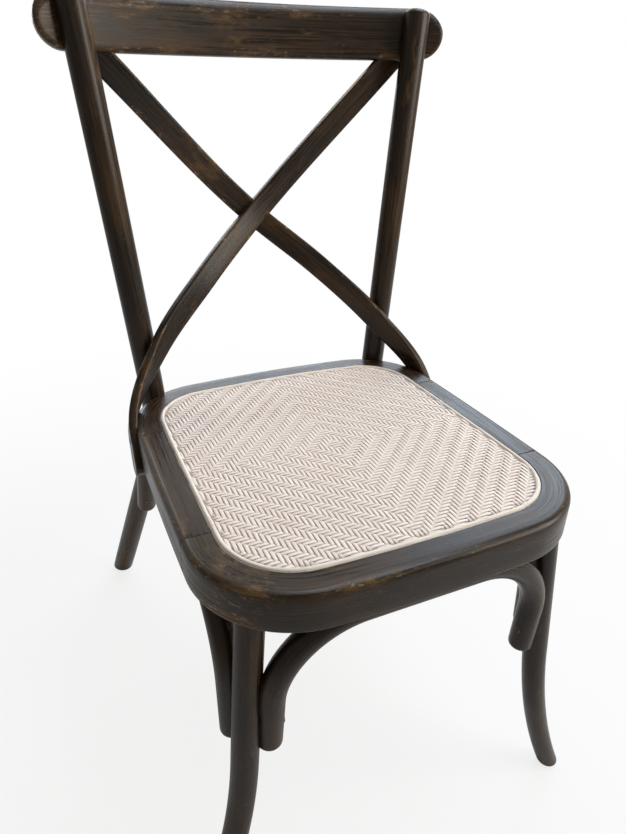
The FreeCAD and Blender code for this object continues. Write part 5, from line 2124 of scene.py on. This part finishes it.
@dataclass
class Glides(Assembly):
    """Moulded pads under the four feet."""

    front: FrontLegs
    rear: RearLegs
    diameter: float = 20.0
    height: float = 3.0

    def build(self) -> None:
        """Make the four pads as one piece."""
        draft = Draft("foot_glide_pads")
        wide = self.diameter / 2
        sections = [(wide - 4, 0.0), (wide - 1.6, 0.0), (wide - 0.6, 0.35), (wide - 0.15, 1.1),
                    (wide, 2.0), (wide, self.height)]
        for spot in (self.front.axis(self.height), self.rear.leg(self.height)):
            for side in Side:
                base = side.of(Vector((spot.x, spot.y, 0.0)))
                pad = round_member("pad", 0, [
                    Station(base + UP * height, radius, UP) for radius, height in sections])
                first = len(draft.points)
                draft.add(zip(pad.points, pad.grain, pad.wear))
                draft.faces += [tuple(number + first for number in face) for face in pad.faces]
        self.keep(draft.finish(), Slot.GLIDE, "foot_glides")


@dataclass
class Dowels(Assembly):
    """The frame's hidden dowels, which stay as the CAD made them."""

    node: bpy.types.Object
    name: str = "frame_joint_dowels"

    def build(self) -> None:
        """Nothing is made: the CAD solids are kept."""

    def dress(self) -> None:
        """Give the CAD solids bare beech."""
        for slot in self.node.material_slots:
            slot.material = self.finishes[Slot.DOWEL]
        LOG.info("%s: kept, %s", self.name, Slot.DOWEL.value)


# Studio


@dataclass(frozen=True)
class Lamp:
    """A soft rectangular lamp aimed at a point, in metres."""

    name: str
    place: Triple
    aim: Triple
    size: Double
    power: float
    colour: Colour


@dataclass(frozen=True)
class Studio:
    """A white floor, an even surround and soft lamps, and the photograph's camera."""

    lamps: Tuple[Lamp, ...] = (
        Lamp("key", (2.1, -1.5, 1.5), (0.0, 0.0, 0.45), (1.5, 1.5), 54.0, (1.0, 0.93, 0.84)),
        Lamp("sky", (0.85, 0.1, 2.85), (0.35, 0.0, 0.45), (2.2, 1.0), 47.0, (0.78, 0.89, 1.0)),
        Lamp("window", (1.9, 1.6, 1.7), (0.1, 0.0, 0.5), (1.3, 1.1), 24.0, (0.66, 0.82, 1.0)),
        Lamp("low_window", (0.5, 2.9, 1.15), (0.0, 0.0, 0.6), (2.6, 0.8), 34.0,
             (0.68, 0.83, 1.0)),
        Lamp("warm_behind", (-0.4, 2.2, 2.2), (0.0, 0.0, 0.5), (1.2, 0.9), 15.0,
             (1.0, 0.84, 0.68)),
    )
    white: Colour = (1.0, 1.0, 1.0)
    ambient: Colour = (0.235, 0.225, 0.212)
    mirrored: Colour = (0.98, 0.89, 0.80)
    backdrop: Triple = (0.25, 0.95, 0.15)
    floor_size: float = 14.0
    floor_tones: Tuple[Colour, Colour] = ((0.66, 0.64, 0.615), (0.69, 0.67, 0.645))
    floor_white: Tuple[float, ...] = (0.5, 1.4, 0.8, 1.0)
    floor_mirror: float = 0.12
    wall_white: Tuple[float, ...] = (-0.1, 0.75, 0.12, 1.0)
    lens: float = 28.27
    sensor: float = 36.0
    near: float = 0.02
    eye: Triple = (-0.3097, -0.6367, 0.876)
    yaw: float = -25.89
    pitch: float = 31.33
    roll: float = 3.05

    def floor(self) -> None:
        """A white floor that keeps the chair's shadow."""
        draft = Draft("studio_floor")
        half = self.floor_size / 2 / MM
        draft.faces.append(tuple(draft.add(
            (Vector((x, y, 0.0)), Vector(), 0.0)
            for x, y in ((-half, -half), (half, -half), (half, half), (-half, half)))))
        piece = draft.finish()
        paint = Paint("studio_floor_white")
        tone = paint.noise(paint.place, (3.0, 3.0, 3.0), 2.0)
        paint.close(paint.mix(tone, *self.floor_tones), 0.9, Specular_IOR_Level=0.1)
        share = paint.span(paint.vector("LENGTH", paint.place), *self.floor_white)
        glow = paint.get("ShaderNodeEmission", self.white, 1.0)
        blend = paint.get("ShaderNodeMixShader", self.seen(paint, self.floor_mirror) * share,
                          Signal(paint, paint.shader.outputs[0]), glow)
        paint.feed(paint.leave.inputs["Surface"], blend)
        piece.data.materials.append(paint.material)

    @staticmethod
    def seen(wire: Wiring, mirrored: float) -> Signal:
        """How far a ray shows the background: wholly for the camera's and through glass.

        Args:
            wire: The material's or the world's wiring.
            mirrored: How far glossy rays show it.

        Returns:
            The share, from 0 to 1.
        """
        camera, clear, glossy = (
            wire.get("ShaderNodeLightPath", pick=f"Is {ray} Ray")
            for ray in ("Camera", "Transmission", "Glossy"))
        return wire.math("MAXIMUM", wire.math("MAXIMUM", camera, clear), glossy * mirrored)

    def surround(self) -> None:
        """White where it is seen, and an even light elsewhere."""
        world = bpy.data.worlds.new("studio_surround")
        world.use_nodes = True
        wire = Wiring(world.node_tree)
        way = wire.get("ShaderNodeTexCoord", pick="Generated")
        ahead = wire.vector("DOT_PRODUCT", way, self.backdrop)
        behind = wire.span(ahead, *self.wall_white)
        colour = wire.mix(behind, self.ambient, self.mirrored)
        glossy = wire.get("ShaderNodeLightPath", pick="Is Glossy Ray")
        colour = wire.mix(glossy, self.ambient, colour)
        colour = wire.mix(self.seen(wire, 0.0), colour, self.white)
        wire.add("ShaderNodeOutputWorld", wire.get("ShaderNodeBackground", colour, 1.0))
        bpy.context.scene.world = world

    def light(self) -> None:
        """Set the lamps."""
        for lamp in self.lamps:
            data = bpy.data.lights.new(lamp.name, "AREA")
            data.shape = "RECTANGLE"
            data.size, data.size_y = lamp.size
            data.energy = lamp.power
            data.color = lamp.colour
            made = linked(lamp.name, data)
            made.location = lamp.place
            way = Vector(lamp.aim) - Vector(lamp.place)
            made.rotation_euler = way.to_track_quat("-Z", "Y").to_euler()

    def camera(self) -> None:
        """The camera of the photograph."""
        yaw, pitch, roll = (math.radians(angle) for angle in (self.yaw, self.pitch, self.roll))
        ahead = Vector((
            -math.sin(yaw) * math.cos(pitch), math.cos(yaw) * math.cos(pitch), -math.sin(pitch)))
        level = Vector((math.cos(yaw), math.sin(yaw), 0.0))
        above = level.cross(ahead)
        right = level * math.cos(roll) + above * math.sin(roll)
        up = above * math.cos(roll) - level * math.sin(roll)
        data = bpy.data.cameras.new("photo_camera")
        data.lens = self.lens
        data.sensor_width = self.sensor
        data.clip_start = self.near
        made = linked("photo_camera", data)
        turn = Matrix((right, up, -ahead)).transposed().to_4x4()
        made.matrix_world = Matrix.Translation(Vector(self.eye)) @ turn
        bpy.context.scene.camera = made

    def build(self) -> None:
        """Set up the whole studio."""
        self.floor()
        self.surround()
        self.light()
        self.camera()
        bpy.context.scene.view_settings.view_transform = "Standard"


def main() -> None:
    """Build the chair's assemblies in order, then the studio."""
    logging.basicConfig(level=logging.INFO, format="%(name)s: %(message)s")
    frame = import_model()
    finishes = Finishes()
    front = FrontLegs(finishes)
    rear = RearLegs(finishes)
    rake = math.degrees(math.atan2(
        rear.top_back - rear.knee_back, rear.post_height - rear.knee_height))
    rail = TopRail(finishes, rake)
    slats = CrossSlats(finishes, rail, rear)
    braces = ArchBraces(finishes, front, rear)
    assemblies: List[Assembly] = [
        front, rear, rail, slats, SeatFrame(finishes), SeatSpline(finishes),
        WovenSeat(finishes), braces, Fasteners(finishes, rail, rear, slats, braces),
        Glides(finishes, front, rear), Dowels(finishes, frame["nodes"]["frame_joint_dowels"])]
    for assembly in assemblies:
        assembly.build()
        assembly.dress()
    Studio().build()
    LOG.info("boxes written")


if __name__ == "__main__":
    main()
